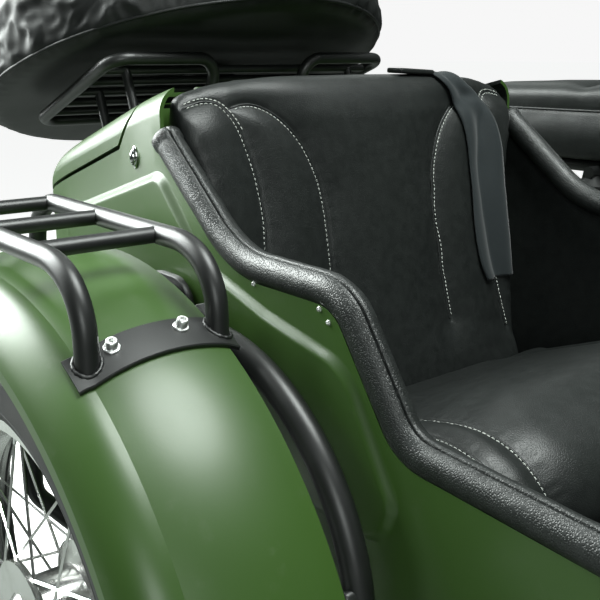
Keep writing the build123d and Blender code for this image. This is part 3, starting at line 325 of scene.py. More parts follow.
near_ring = 0.004
panel_depth = 0.007
outer_wall_from = 0.27
tub_mesh = merged_copy("sidecar_tub")
tub_tree = BVHTree.FromBMesh(tub_mesh)
stations = [-0.80 + 0.01 * n for n in range(76)]
sides = [tub_tree.ray_cast(Vector((x, mid_y + 1, 0.515)), Vector((0, -1, 0)))[0].y for x in stations]
half_fit = np.polyfit(stations, [y - mid_y for y in sides], 7)
pressed = []
for face in tub_mesh.faces:
    middle = face.calc_center_median()
    if abs(middle.y - mid_y) < half_width(middle.x) - 0.002:
        continue
    if not 0.51 < middle.z < 0.85 or not -0.79 < middle.x < -0.06:
        continue
    away = ring_distance(middle.x, middle.z)
    if away < -0.0005 or (abs(away) < 0.0035 and abs(face.normal.y) < 0.4):
        pressed.append(face)
bmesh.ops.delete(tub_mesh, geom=pressed, context="FACES")
for side in (-1, 1):
    rim_edges = []
    for edge in tub_mesh.edges:
        if edge.is_boundary and all((v.co.y - mid_y) * side > outer_wall_from for v in edge.verts):
            if all(abs(ring_distance(v.co.x, v.co.z)) < near_ring for v in edge.verts):
                rim_edges.append(edge)
    for edge in rim_edges:
        cuts = int(edge.calc_length() / 0.005)
        if cuts:
            bmesh.ops.subdivide_edges(tub_mesh, edges=[edge], cuts=cuts)
    tub_mesh.verts.index_update()
    rim = {v for e in tub_mesh.edges if e.is_boundary for v in e.verts}
    rim = {v for v in rim if (v.co.y - mid_y) * side > outer_wall_from}
    rim = {v for v in rim if abs(ring_distance(v.co.x, v.co.z)) < near_ring}
    loop = []
    while rim:
        walk = [min(rim, key=lambda v: (v.co.x, v.co.z, v.index))]
        while walk[-1] in rim:
            rim.discard(walk[-1])
            others = [e.other_vert(walk[-1]) for e in walk[-1].link_edges if e.is_boundary]
            ahead = [v for v in others if v in rim]
            if ahead:
                walk.append(min(ahead, key=lambda v: (v.co.z, v.co.x, v.index)))
        if len(walk) > len(loop):
            loop = walk
    turn = sum(a.co.x * b.co.z - b.co.x * a.co.z for a, b in zip(loop, loop[1:] + loop[:1]))
    if turn < 0:
        loop.reverse()
    for vert in loop:
        near = shown_tree.find(Vector((vert.co.x, 0, vert.co.z)))[0]
        vert.co = (near.x, mid_y + side * half_width(near.x), near.z)
    count = len(loop)
    inward = []
    for n in range(count):
        before, after = loop[n - 2].co, loop[(n + 2) % count].co
        along = Vector((after.x - before.x, 0, after.z - before.z)).normalized()
        inward.append(Vector((-along.z, 0, along.x)))
    rings = [loop]
    for depth in (1.2, 2.6, 4.2, 6.0, 7.8, 9.4, 10.8, 12.0, 15.0):
        share = min(1.0, depth / 12.0)
        rise = panel_depth * share * share * (3 - 2 * share)
        ring = []
        for n in range(count):
            place = loop[n].co + inward[n] * depth / 1000
            place.y = mid_y + side * (half_width(place.x) + rise)
            ring.append(tub_mesh.verts.new(place))
        rings.append(ring)
    for low, high in zip(rings, rings[1:]):
        for n in range(count):
            quad = [low[n], low[(n + 1) % count], high[(n + 1) % count], high[n]]
            tub_mesh.faces.new(quad if side < 0 else quad[::-1])
    middle_faces = [tub_mesh.faces.new(rings[-1] if side < 0 else rings[-1][::-1])]
    for n in range(40):
        x = -0.79 + 0.018 * n
        geom = dict.fromkeys(middle_faces)
        for face in middle_faces:
            geom.update(dict.fromkeys(face.edges))
            geom.update(dict.fromkeys(face.verts))
        cut = bmesh.ops.bisect_plane(tub_mesh, geom=list(geom), plane_co=(x, 0, 0), plane_no=(1, 0, 0))
        middle_faces = [g for g in cut["geom"] if isinstance(g, bmesh.types.BMFace)]
    for vert in {v for f in middle_faces for v in f.verts}:
        vert.co.y = mid_y + side * (half_width(vert.co.x) + panel_depth)
tub_mesh.verts.index_update()
tub = new_piece("painted_tub", *mesh_lists(tub_mesh), [green_paint, hide])
for face in tub.data.polygons:
    outward = face.center - Vector((face.center.x, mid_y, 0.56))
    hit = tub_tree.ray_cast(face.center + face.normal * 0.012, face.normal)[0]
    if face.normal.dot(outward) < 0 or (hit is not None and abs(face.normal.x) > 0.5):
        face.material_index = 1
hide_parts("sidecar_tub")
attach(tub, "outfit")


# Seat back: a sprung board under foam and black hide, sewn from a wide middle, two curved side
# strips and two puffy outer gussets. The outer seams are stitched twice, the inner ones have a welt
thread, shader, place = surface("pale_thread", Specular_IOR_Level=0.3)
twist = place.noise(1500.0, 2.0)
colour = twist.ramp(0.3, 0.7).mix((0.40, 0.42, 0.39, 1), (0.60, 0.62, 0.58, 1))
finish_surface(shader, place, colour, 0.62 + 0.1 * twist, twist.bump(0.4, 0.0003))


def smooth_line(points, step):
    """A smooth curve through the points, about step apart."""
    ends = [2 * points[0] - points[1], *points, 2 * points[-1] - points[-2]]
    line = []
    for a, b, c, d in zip(ends, ends[1:], ends[2:], ends[3:]):
        count = max(1, round((c - b).length / step))
        for k in range(count):
            t = k / count
            bend = (2 * a - 5 * b + 4 * c - d) * t * t + (3 * b - a - 3 * c + d) * t ** 3
            line.append(0.5 * (2 * b + (c - a) * t + bend))
    return [*line, points[-1]]


def tree_of(piece):
    """A lookup of the piece's present surface."""
    mesh = piece.data
    return BVHTree.FromPolygons([v.co for v in mesh.vertices], [p.vertices for p in mesh.polygons])


def evened(vectors, reach):
    """The vectors with each one averaged over its neighbours."""
    table = np.array([tuple(v) for v in vectors])
    padded = np.pad(table, ((reach, reach), (0, 0)), "edge")
    weights = np.ones(2 * reach + 1) / (2 * reach + 1)
    columns = [np.convolve(padded[:, k], weights, "valid") for k in range(3)]
    return [Vector(row) for row in np.stack(columns, 1)]


def directions(line):
    """The direction at each point of a line, from the point before it to the one after."""
    last = len(line) - 1
    return [(line[min(n + 1, last)] - line[max(n - 1, 0)]).normalized() for n in range(last + 1)]


def laid_on(tree, line):
    """The line laid onto a surface, evened out, with the surface's directions along it."""
    found = [tree.find_nearest(p) for p in line]
    ups = evened([f[1] for f in found], 8)
    points = []
    for place, up in zip(evened([f[0] for f in found], 4), ups):
        up.normalize()
        hit = tree.ray_cast(place + up * 0.014, -up, 0.03)[0]
        points.append(hit or place)
    return evened(points, 2), ups


def soft_form(node, name, points, faces, voxel, material):
    """A closed form in place of a soft CAD node, remeshed finely and evenly."""
    piece = new_piece(name, points, faces, [material])
    remesh = piece.modifiers.new("voxels", "REMESH")
    remesh.mode = "VOXEL"
    remesh.voxel_size = voxel
    remesh.use_smooth_shade = True
    bpy.ops.object.modifier_apply(modifier="voxels")
    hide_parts(node)
    return piece


def round_ring(middle, side, up, radius, count):
    """Points of a circle that side and up span."""
    turns = [k * math.tau / count for k in range(count)]
    return [middle + (side * math.cos(turn) + up * math.sin(turn)) * radius for turn in turns]


def loft(rings):
    """Points and faces of a closed form through rings of as many points each."""
    points = [p for ring in rings for p in ring]
    count = len(rings[0])
    faces = [tuple(range(count - 1, -1, -1)), tuple(len(points) - count + k for k in range(count))]
    for n in range(len(rings) - 1):
        for k in range(count):
            low, high = n * count, (n + 1) * count
            faces.append((low + k, low + (k + 1) % count, high + (k + 1) % count, high + k))
    return points, faces


def add_loft(points, faces, rings):
    """Add a closed form through rings to a mesh's points and faces."""
    more_points, more_faces = loft(rings)
    faces += [tuple(len(points) + k for k in face) for face in more_faces]
    points += more_points


def seam_tree(lines):
    """A lookup of the seams' points, each with how far along its seam it lies."""
    spots = [(p, n * 0.002) for line in lines for n, p in enumerate(line)]
    tree = KDTree(len(spots))
    for n, (p, _) in enumerate(spots):
        tree.insert(p, n)
    tree.balance()
    return tree, [along for _, along in spots]


def fill_out(piece, seams, slack, most, held_back):
    """Fill a cover with air pressure: seams stay down, and no point moves further than its cap."""
    tree, _ = seam_tree(seams)
    mesh = piece.data
    normals = [n.vector.copy() for n in mesh.vertex_normals]
    rest = []
    caps = []
    crowned = 0.8
    least = 0.0006
    for vert, normal in zip(mesh.vertices, normals):
        free = 0.0 if held_back(vert.co, normal) else 1.0
        away = min(1.0, tree.find(vert.co)[2] / 0.05)
        caps.append(free * (least + most * math.sin(away * math.pi / 2)))
        vert.co += normal * (crowned * caps[-1] - slack * free)
        rest.append(vert.co.copy())
    pins = piece.vertex_groups.new(name="sewn_down")
    pins.add([n for n, cap in enumerate(caps) if cap < 0.001], 1.0, "REPLACE")
    cloth = piece.modifiers.new("filling", "CLOTH")
    cloth.settings.use_pressure = True
    cloth.settings.uniform_pressure_force = 4.0
    cloth.settings.effector_weights.gravity = 0
    cloth.settings.vertex_group_mass = "sewn_down"
    cloth.collision_settings.use_collision = False
    for n in range(1, 21):
        bpy.context.scene.frame_set(n)
    bpy.ops.object.modifier_apply(modifier="filling")
    bpy.context.scene.frame_set(1)
    for vert, start, cap in zip(piece.data.vertices, rest, caps):
        move = vert.co - start
        most_now = max(least, cap * (1 - crowned))
        if move.length > most_now:
            vert.co = start + move * (most_now / move.length)
    piece.vertex_groups.clear()
    axes = {"use_axis_x": True, "use_axis_y": True, "use_axis_z": True}
    for _ in range(6):
        smoothed = bmesh.new()
        smoothed.from_mesh(piece.data)
        bmesh.ops.smooth_vert(smoothed, verts=smoothed.verts, factor=0.5, **axes)
        smoothed.to_mesh(piece.data)
        smoothed.free()
    finer = piece.modifiers.new("finer", "SUBSURF")
    finer.levels = 1
    bpy.ops.object.modifier_apply(modifier="finer")


def sink_seams(piece, seams, depth, width, pucker):
    """Draw the cover down along its seams, with small puckers running away from them."""
    surface_tree = tree_of(piece)
    seams = [laid_on(surface_tree, line)[0] for line in seams]
    tree, along = seam_tree(seams)
    reach, dip, beside_seam = 0.06, 0.014, 0.008
    normals = [n.vector.copy() for n in piece.data.vertex_normals]
    for vert, normal in zip(piece.data.vertices, normals):
        _, nearest, away = tree.find(vert.co)
        if away > reach:
            continue
        wave = math.sin(along[nearest] * 400 + 5 * noise.noise(Vector((along[nearest] * 40, 0, 0))))
        fold = pucker * wave * math.exp(-((away - beside_seam) / beside_seam) ** 2)
        groove = depth * math.exp(-((away / width) ** 2)) + 0.5 * depth * math.exp(-((away / dip) ** 2))
        vert.co -= normal * (groove - fold)
    return seams


def stitches(name, tree, runs, pitch, length, thick, body):
    """Separate stitches of pale thread, laid end to end on a surface along each run."""
    points = []
    faces = []
    ends = ((-0.5, 0.35), (-0.32, 1.0), (0.32, 1.0), (0.5, 0.35))
    for line in runs:
        walked = 0.0
        laid, ups = laid_on(tree, line)
        for place, up, second in zip(laid, ups, laid[1:]):
            walked += (second - place).length
            if walked < pitch:
                continue
            walked = 0.0
            along = (second - place).normalized()
            along = (along - up * along.dot(up)).normalized()
            side = up.cross(along)
            rings = []
            for t, swell in ends:
                middle = place + along * t * length + up * thick * (0.9 if abs(t) < 0.4 else 0.1)
                rings.append(round_ring(middle, side, up, thick * swell, 5))
            add_loft(points, faces, rings)
    piece = new_piece(name, points, faces, [thread], 60)
    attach(piece, body)
    return piece


def beside(tree, line, gap):
    """A line laid on the surface, gap to one side of another."""
    points, ups = laid_on(tree, line)
    moved = [point + up.cross(ahead) * gap for point, up, ahead in zip(points, ups, directions(points))]
    return laid_on(tree, moved)[0]


def welt(name, tree, line, thick, material, body):
    """A thin round cord sewn into a seam, standing a little out of it."""
    path, ups = laid_on(tree, line)
    rings = []
    for n, (middle, up, ahead) in enumerate(zip(path, ups, directions(path))):
        swell = thick * min(1.0, 0.2 + 0.2 * min(n, len(path) - 1 - n))
        rings.append(round_ring(middle, up.cross(ahead), up, swell, 8))
    piece = new_piece(name, *loft(rings), [material], 60)
    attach(piece, body)
    return piece


def back_front(y, z):
    """A place on the seat back's front, from the body's middle, in this frame."""
    return spot(20 + 0.2 * (900 - z), body_mid + y, z)


outer_seam = [
    # distance from the middle, z
    (-296, 918), (-268, 924), (-240, 916), (-220, 890), (-204, 840), (-197, 793), (-198, 740), (-205, 690),
    (-214, 640), (-224, 590), (-232, 560),
]
inner_seam = [
    (-226, 904), (-200, 910), (-171, 901), (-131, 866), (-108, 820), (-100, 780), (-100, 700), (-104, 640),
    (-110, 590),
]
back_seams = []
for table in (outer_seam, inner_seam):
    for side in (1, -1):
        back_seams.append(smooth_line([back_front(side * y, z) for y, z in table], 0.002))
profile = (
    # x at the middle, z, whether it lies on the front
    (104, 477, 1), (88, 560, 1), (68, 660, 1), (48, 760, 1), (34, 830, 1), (22, 890, 1), (8, 922, 1),
    (-8, 936, 1), (-26, 936, 0), (-34, 905, 0), (-30, 860, 0), (-20, 760, 0), (-6, 640, 0), (16, 490, 0),
)
half_at = (
    # z, half width of the front, half width of the rear
    (470, 250, 270), (600, 244, 272), (720, 246, 276), (761, 248, 280), (804, 258, 282), (857, 276, 282),
    (891, 294, 284), (921, 297, 285), (940, 294, 282),
)
crown = ((0, 935), (0.45, 934), (0.75, 929), (0.92, 921), (1, 910))
crown_from = 860
crown_share, crown_z = zip(*crown)
half_z, half_front, half_rear = zip(*half_at)
rings = []
for n in range(-20, 21):
    share = n / 20
    top = np.interp(abs(share), crown_share, crown_z)
    ring = []
    for x, z, front in profile:
        if z > crown_from:
            z = crown_from + (z - crown_from) * (top - crown_from) / (936 - crown_from)
        half = np.interp(z, half_z, half_front if front else half_rear)
        ring.append(spot(x, body_mid + share * half, z))
    rings.append(ring)
seat_back = soft_form("seat_back", "sewn_seat_back", *loft(rings), 0.006, hide)
rear_of_back = spot(-20, 0, 0).x


def back_held(place, normal):
    return normal.x < -0.5 or normal.z < -0.5 or place.x < rear_of_back


rest_tree = tree_of(seat_back)
back_lines = [laid_on(rest_tree, line)[0] for line in back_seams]
fill_out(seat_back, back_lines, 0.006, 0.013, back_held)
back_lines = sink_seams(seat_back, back_lines, 0.0026, 0.0034, 0.00012)
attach(seat_back, "outfit")
back_tree = tree_of(seat_back)
for n, word in enumerate(("far_outer", "near_outer", "far_inner", "near_inner")):
    welt("back_welt_" + word, back_tree, back_lines[n], 0.0016, hide, "outfit")
runs = []
for n, gap in ((0, -1), (1, 1), (0, 1), (1, -1), (2, -1), (3, 1)):
    line = back_lines[n]
    if (n, gap) in ((0, 1), (1, -1)):
        line = line[:60]
    runs.append(beside(back_tree, line, gap * 0.0044))
stitches("back_stitches", back_tree, runs, 0.0052, 0.0040, 0.00055, "outfit")

# Seat cushion: foam under hide with a round bolster along each side, sewn in by one seam on top
# and a welted one below it, whose gusset is gathered in small folds
inner_roll = [
    # x, distance from the middle, z
    (118, -196, 523), (162, -199, 543), (258, -203, 577), (301, -206, 606), (344, -208, 619),
    (382, -209, 626), (418, -209, 624), (453, -208, 613), (476, -207, 597), (497, -205, 567),
    (503, -204, 530),
]
outer_roll = [
    (150, -262, 540), (250, -256, 577), (300, -254, 600), (347, -253, 619), (372, -253, 626),
    (397, -253, 629), (421, -253, 626), (444, -253, 618), (461, -254, 606), (473, -254, 592),
    (488, -256, 560), (494, -258, 520),
]
cushion_seams = []
for table in (inner_roll, outer_roll):
    for side in (1, -1):
        cushion_seams.append(smooth_line([spot(x, body_mid + side * y, z) for x, y, z in table], 0.002))
points, faces = mesh_lists(merged_copy("seat_cushion"))
cushion = soft_form("seat_cushion", "sewn_seat_cushion", points, faces, 0.006, hide)
cushion_foot = spot(0, 0, 482).z
cushion_rear = spot(112, 0, 0).x


def cushion_held(place, normal):
    return normal.z < -0.5 or place.z < cushion_foot or place.x < cushion_rear


rest_tree = tree_of(cushion)
cushion_lines = [laid_on(rest_tree, line)[0] for line in cushion_seams]
fill_out(cushion, cushion_lines, 0.006, 0.014, cushion_held)
cushion_lines = sink_seams(cushion, cushion_lines, 0.0026, 0.0034, 0.00025)
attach(cushion, "outfit")
cushion_tree = tree_of(cushion)
for n, word in enumerate(("far_inner", "near_inner", "far_outer", "near_outer")):
    thick = 0.0014 if n < 2 else 0.002
    welt("cushion_welt_" + word, cushion_tree, cushion_lines[n], thick, hide, "outfit")
sewn = ((0, -1), (1, 1), (2, -1), (3, 1))
runs = [beside(cushion_tree, cushion_lines[n], gap * 0.0042) for n, gap in sewn]
stitches("cushion_stitches", cushion_tree, runs, 0.0052, 0.0040, 0.00055, "outfit")

# Cockpit edge: a foam roll covered in grained hide and pulled over the tub's rim, closed by one
# sewn seam on its inner top, with a folded band at each rear end and small plated screws under it
trim_table = (
    # x, distance from the body's middle, z, bend radius
    (0, 306, 872, 0), (150, 309, 752, 150), (318, 310, 751, 52), (402, 309, 629, 52), (640, 300, 610, 90),
    (800, 262, 742, 60),
)
corners = [spot(x, body_mid - off, z) for x, off, z, _ in trim_table]
corners += [spot(x, body_mid + off, z) for x, off, z, _ in reversed(trim_table)]
radii = [r / 1000 for *_, r in trim_table[1:]]
trim_path = rounded(corners, radii + radii[::-1], 0.004)
ahead = directions(trim_path)
rise = []
for along in ahead:
    up = Vector((0, 0, 1)) - along * along.z
    lean = Vector((1, 0, 0)) - along * along.x
    rise.append((up if up.length > 0.3 else lean).normalized())
rise = [v.normalized() for v in evened(rise, 6)]
roll_half = 0.0170
seam_turn = math.radians(76)
turns = [k * math.tau / 40 for k in range(40)]
turns += [seam_turn + off for off in (-0.16, -0.11, -0.07, -0.035, 0.0, 0.035, 0.07, 0.11, 0.16)]
turns.sort()
rings = []
seam_line = []
walked = 0.0
total = sum((b - a).length for a, b in zip(trim_path, trim_path[1:]))
for n, (place, along, up) in enumerate(zip(trim_path, ahead, rise)):
    if n:
        walked += (place - trim_path[n - 1]).length
    up = (up - along * up.dot(along)).normalized()
    out = up.cross(along)
    from_end = min(walked, total - walked)
    ring = []
    for turn in turns:
        direction = -out * math.cos(turn) + up * math.sin(turn)
        here = place + direction * roll_half
        radius = roll_half + 0.0007 * noise.noise(here * 22) + 0.0003 * noise.noise(here * 70)
        radius -= 0.0026 * math.exp(-(((turn - seam_turn) / 0.055) ** 2))
        radius += 0.0007 * math.exp(-(((turn - seam_turn - 0.26) / 0.10) ** 2))
        if from_end < 0.012:
            radius += 0.0012
        elif from_end < 0.016:
            radius -= 0.0006
        radius *= min(1.0, 0.80 + from_end * 50) if from_end < 0.004 else 1.0
        ring.append(place + direction * radius)
    rings.append(ring)
    seam_line.append(place + (-out * math.cos(seam_turn) + up * math.sin(seam_turn)) * (roll_half - 0.001))
roll_hide, shader, place = surface("coarse_grained_hide", Specular_IOR_Level=0.5)
cells = place.make("ShaderNodeTexVoronoi", {"Vector": place, "Scale": 560.0, "Randomness": 0.95}, "Distance")
folds = place.noise(90.0, 4.0, 0.6)
grain = cells.ramp(0.05, 0.6) + 0.4 * folds
colour = folds.ramp(0.3, 0.7).mix((0.0095, 0.0110, 0.0105, 1), (0.0150, 0.0172, 0.0165, 1))
roughness = 0.37 + 0.10 * place.noise(26.0, 3.0) - 0.05 * cells
finish_surface(shader, place, colour, roughness, grain.bump(0.42, 0.0008))
roll = new_piece("sewn_cockpit_roll", *loft(rings), [roll_hide], 50)
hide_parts("cockpit_trim")
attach(roll, "outfit")
roll_tree = tree_of(roll)
stitched = beside(roll_tree, seam_line[2:-2], 0.0030)
dark_thread, shader, place = surface("dark_thread", Specular_IOR_Level=0.4)
twist = place.noise(1500.0, 2.0)
colour = twist.ramp(0.3, 0.7).mix((0.012, 0.013, 0.013, 1), (0.035, 0.037, 0.036, 1))
finish_surface(shader, place, colour, 0.5 + 0.1 * twist, twist.bump(0.4, 0.0003))
roll_stitches = stitches("roll_stitches", roll_tree, [stitched], 0.0050, 0.0039, 0.00055, "outfit")
roll_stitches.data.materials[0] = dark_thread


def bright_screw(name, place, up, radius, height, material, body):
    """A domed screw with a washer and a six-sided socket, standing on a surface."""
    rows = (
        # share of the radius, share of the height
        (1.35, 0.00), (1.35, 0.12), (1.26, 0.18), (1.02, 0.20), (1.00, 0.80), (0.92, 0.94), (0.80, 1.00),
        (0.60, 1.00),
    )
    side = up.orthogonal().normalized()
    across = up.cross(side)
    count = 24
    socket = 0.56 * math.cos(math.pi / 6)
    rings = []
    for share, tall in rows:
        rings.append(round_ring(place + up * tall * height, side, across, share * radius, count))
    for tall in (1.0, 0.35):
        middle = place + up * tall * height
        ring = []
        for k in range(count):
            turn = k * math.tau / count
            reach = radius * socket / math.cos((turn % (math.pi / 3)) - math.pi / 6)
            ring.append(middle + (side * math.cos(turn) + across * math.sin(turn)) * reach)
        rings.append(ring)
    screw = new_piece(name, *loft(rings), [material], 40)
    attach(screw, body)
    return screw


polished, shader, place = surface("bright_plating", metallic=1.0)
marks = place.noise(22.0, 6.0, 0.65)
colour = marks.ramp(0.45, 0.8).mix((0.78, 0.79, 0.80, 1), (0.66, 0.67, 0.68, 1))
ripple = place.noise(120.0)
finish_surface(shader, place, colour, 0.10 + 0.16 * marks.ramp(0.4, 0.85), ripple.bump(0.02, 0.0002))
zinc, shader, place = surface("bright_zinc", metallic=1.0)
stain = place.noise(180.0, 4.0)
colour = stain.ramp(0.35, 0.75).mix((0.92, 0.93, 0.92, 1), (0.78, 0.79, 0.77, 1))
finish_surface(shader, place, colour, 0.34 + 0.14 * stain, stain.bump(0.1, 0.0002))
outside = 400
for n, (x, z) in enumerate(((189, 738), (294, 735), (307, 725))):
    for side, word in ((-1, "near"), (1, "far")):
        out = Vector((0, side, 0))
        hit = tub_tree.ray_cast(spot(x, body_mid + side * outside, z), -out)[0]
        bright_screw("edge_screw_%s_%d" % (word, n), hit, out, 0.0021, 0.0018, zinc, "outfit")

# Cover snaps: an oval plated stud on each side of the body, for a cockpit cover
snap_rows = (
    # share of the oval, how far it stands out, in metres
    (1.0, 0.0), (1.0, 0.0012), (0.92, 0.0022), (0.72, 0.0028), (0.66, 0.0044), (0.5, 0.0058), (0.25, 0.0066),
    (0.06, 0.0068),
)
snap_half_wide, snap_half_tall = 0.0062, 0.0138
for side, word in ((-1, "near"), (1, "far")):
    hit = tub_tree.ray_cast(spot(-69, body_mid + side * outside, 842), Vector((0, -side, 0)))[0]
    rings = []
    for share, tall in snap_rows:
        ring = []
        for k in range(32):
            turn = k * math.tau / 32
            wide, high = snap_half_wide * share * math.cos(turn), snap_half_tall * share * math.sin(turn)
            ring.append(hit + Vector((wide, side * tall, high)))
        rings.append(ring if side < 0 else ring[::-1])
    stud = new_piece("cover_snap_" + word, *loft(rings), [polished], 40)
    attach(stud, "outfit")

# Retaining strap: a soft dark webbing strap with a flat black buckle, laid over the seat back's
# top and hanging down its front, held to the seat only by its own weight
sheen = {"Sheen_Weight": 0.12, "Sheen_Roughness": 0.5}
cloth, shader, place = surface("dark_webbing", Specular_IOR_Level=0.25, **sheen)
bands = {"Vector": place, "Scale": 190.0, "Distortion": 0.6}
weave = place.make("ShaderNodeTexWave", bands, "Fac", bands_direction="Y")
cross = place.make("ShaderNodeTexWave", bands, "Fac", bands_direction="Z")
threads = weave * 0.5 + cross * 0.5
colour = threads.ramp(0.2, 0.8).mix((0.0075, 0.0110, 0.0122, 1), (0.0180, 0.0240, 0.0260, 1))
finish_surface(shader, place, colour, 0.58 + 0.12 * threads, threads.bump(0.25, 0.0004))
strap_rows = (
    # x, left edge, right edge, z; edges from the body's middle
    (-36, 118, 176, 905), (-32, 118, 178, 925), (-18, 122, 182, 939), (0, 127, 188, 938), (13, 138, 200, 927),
    (20, 156, 222, 905), (29, 169, 240, 858), (42, 172, 246, 795), (56, 168, 247, 722), (66, 173, 250, 668),
    (71, 186, 253, 640),
)
strap_left = smooth_line([spot(x, body_mid + left, z) for x, left, _, z in strap_rows], 0.004)
strap_right = smooth_line([spot(x, body_mid + right, z) for x, _, right, z in strap_rows], 0.004)
strap_flat_width = 0.075
count = 100
wide = 17
points = []
for n in range(count + 1):
    left = strap_left[round(n * (len(strap_left) - 1) / count)]
    right = strap_right[round(n * (len(strap_right) - 1) / count)]
    for k in range(wide):
        share = k / (wide - 1)
        place = left.lerp(right, share)
        centre = spot(-14, body_mid, min(900, 1000 * place.z))
        direction = Vector((place.x - centre.x, 0, place.z - centre.z + 0.004)).normalized()
        hit = back_tree.ray_cast(place + direction * 0.05, -direction, 0.09)[0] or place
        wave = math.sin(share * 9.0 + 2.2 * noise.noise(Vector((0, 0, place.z * 9))))
        fold = 0.0022 * wave * min(1.0, n / 20) + 0.0015 * noise.noise(place * 18)
        points.append(hit + direction * (0.0042 + fold))
grid = np.array([tuple(p) for p in points]).reshape(count + 1, wide, 3)
for _ in range(4):
    grid[1:-1] = (grid[:-2] + 2 * grid[1:-1] + grid[2:]) / 4
firsts = [n * wide + k for n in range(count) for k in range(wide - 1)]
faces = [(first, first + 1, first + wide + 1, first + wide) for first in firsts]
strap = new_piece("retaining_strap", [Vector(p) for p in grid.reshape(-1, 3)], faces, [cloth], 60)
area = sum(p.area for p in strap.data.polygons)
thicken = strap.modifiers.new("thickness", "SOLIDIFY")
thicken.thickness = 0.0014
thicken.offset = 0
bpy.ops.object.modifier_apply(modifier="thickness")
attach(strap, "outfit")
strap_length = round(area / strap_flat_width, 3)
down = Vector((0, 0, -1))


def soft_block(name, place, sizes, edge, segments, material):
    """A small block at a place, its size given, with rounded edges."""
    bpy.ops.object.select_all(action="DESELECT")
    bpy.ops.mesh.primitive_cube_add(size=1, location=(0, 0, 0))
    block = bpy.context.object
    block.name = name
    block.data.transform(place @ Matrix.Diagonal((*sizes, 1)))
    soften = block.modifiers.new("soft_edges", "BEVEL")
    soften.width = edge
    soften.segments = segments
    bpy.ops.object.modifier_apply(modifier="soft_edges")
    block.data.materials.append(material)
    bpy.ops.object.shade_smooth_by_angle(angle=math.radians(40), keep_sharp_edges=False)
    return block


buckle_at = back_tree.ray_cast(spot(-10, body_mid + 100, 1000), down)[0] + Vector((0, 0, 0.0036))
tilted = Matrix.Translation(buckle_at) @ Matrix.Rotation(math.radians(-3), 4, "X")
buckle = soft_block("strap_buckle", tilted, (0.030, 0.066, 0.007), 0.0024, 3, hide)
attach(buckle, "outfit")

# Mudguard rack: bent steel tube with cross bars under black powder coat, its legs welded to two
# steel straps that are screwed to the mudguard with plated socket screws
black_paint, shader, place = surface("black_enamel", Coat_Weight=0.1, Coat_Roughness=0.3)
speck = place.noise(900.0, 2.0)
colour = place.noise(24.0, 5.0).ramp(0.4, 0.75).mix((0.0060, 0.0068, 0.0066, 1), (0.0105, 0.0114, 0.0110, 1))
roughness = 0.37 + 0.10 * place.noise(40.0, 4.0)
finish_surface(shader, place, colour, roughness, speck.bump(0.16, 0.0003))


def dress(material, *nodes):
    """Give CAD nodes that keep their shape their finish."""
    for node in nodes:
        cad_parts[node].data.materials.clear()
        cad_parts[node].data.materials.append(material)


def closed_faces(around, wide):
    """Faces of a form that closes on itself both along and across."""
    faces = []
    for n in range(around):
        for k in range(wide):
            low, high = n * wide, ((n + 1) % around) * wide
            faces.append((low + k, low + (k + 1) % wide, high + (k + 1) % wide, high + k))
    return faces


guard_tree = tree_of(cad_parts["sidecar_mudguard"])
points, faces = mesh_lists(merged_copy("mudguard_rack"))
lean_start = spot(120, 0, 735)
leg_forward, leg_lower = 0.013, 0.007
for point in points:
    reach = min(1.0, max(0.0, (point.x - lean_start.x) / 0.075))
    drop = min(1.0, max(0.0, (lean_start.z - point.z) / 0.020)) if reach > 0 else 0.0
    point += Vector((leg_forward * reach * reach * (3 - 2 * reach), 0, -leg_lower * drop))
rack = new_piece("luggage_rack_tubes", points, faces, [black_paint], 40)
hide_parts("mudguard_rack")
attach(rack, "outfit")
strap_section = (
    # mm from the strap's middle, metres above the mudguard
    (-17, 0.0006), (-17, 0.0040), (-16, 0.0050), (0, 0.0050), (16, 0.0050), (17, 0.0040), (17, 0.0006),
)
crown_edge = -1071
bead_radius = 12.4
for word, middle in (("front", 222), ("rear", -197)):
    rings = []
    for n in range(25):
        y = -1219 + 161 * n / 24
        past = max(0.0, y - crown_edge)
        ring = []
        for k, lift in strap_section:
            hit, up, _, _ = guard_tree.ray_cast(spot(middle + k, y - past, 900), down)
            ring.append(hit + up * lift + Vector((0, past, -0.42 * past)) / 1000)
        rings.append(ring)
    plate = new_piece("rack_foot_plate_" + word, *loft(rings), [black_paint], 35)
    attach(plate, "outfit")
    plate_tree = tree_of(plate)
    for n, y in enumerate((-1178, -1108)):
        hit, up, _, _ = plate_tree.ray_cast(spot(middle - 3, y, 900), down)
        bright_screw("rack_screw_%s_%d" % (word, n), hit - up * 0.0002, up, 0.0056, 0.0098, zinc, "outfit")
    leg_x = 208 + 13 if word == "front" else -192
    for n, y in enumerate((-1203, -1069)):
        round_leg = []
        for k in range(40):
            turn = k * math.tau / 40
            above = spot(leg_x + bead_radius * math.cos(turn), y + bead_radius * math.sin(turn), 900)
            hit = plate_tree.ray_cast(above, down)[0]
            round_leg.append(hit or plate_tree.find_nearest(Vector((above.x, above.y, 0.705)))[0])
        points = []
        for k in range(40):
            along = (round_leg[(k + 1) % 40] - round_leg[k - 1]).normalized()
            side = along.cross(-down).normalized()
            thick = 0.0021 + 0.0005 * math.sin(k * 2.4) + 0.0004 * noise.noise(round_leg[k] * 300)
            points += round_ring(round_leg[k], side, side.cross(along), thick, 6)
        bead = new_piece("rack_weld_%s_%d" % (word, n), points, closed_faces(40, 6), [black_paint], 80)
        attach(bead, "outfit")

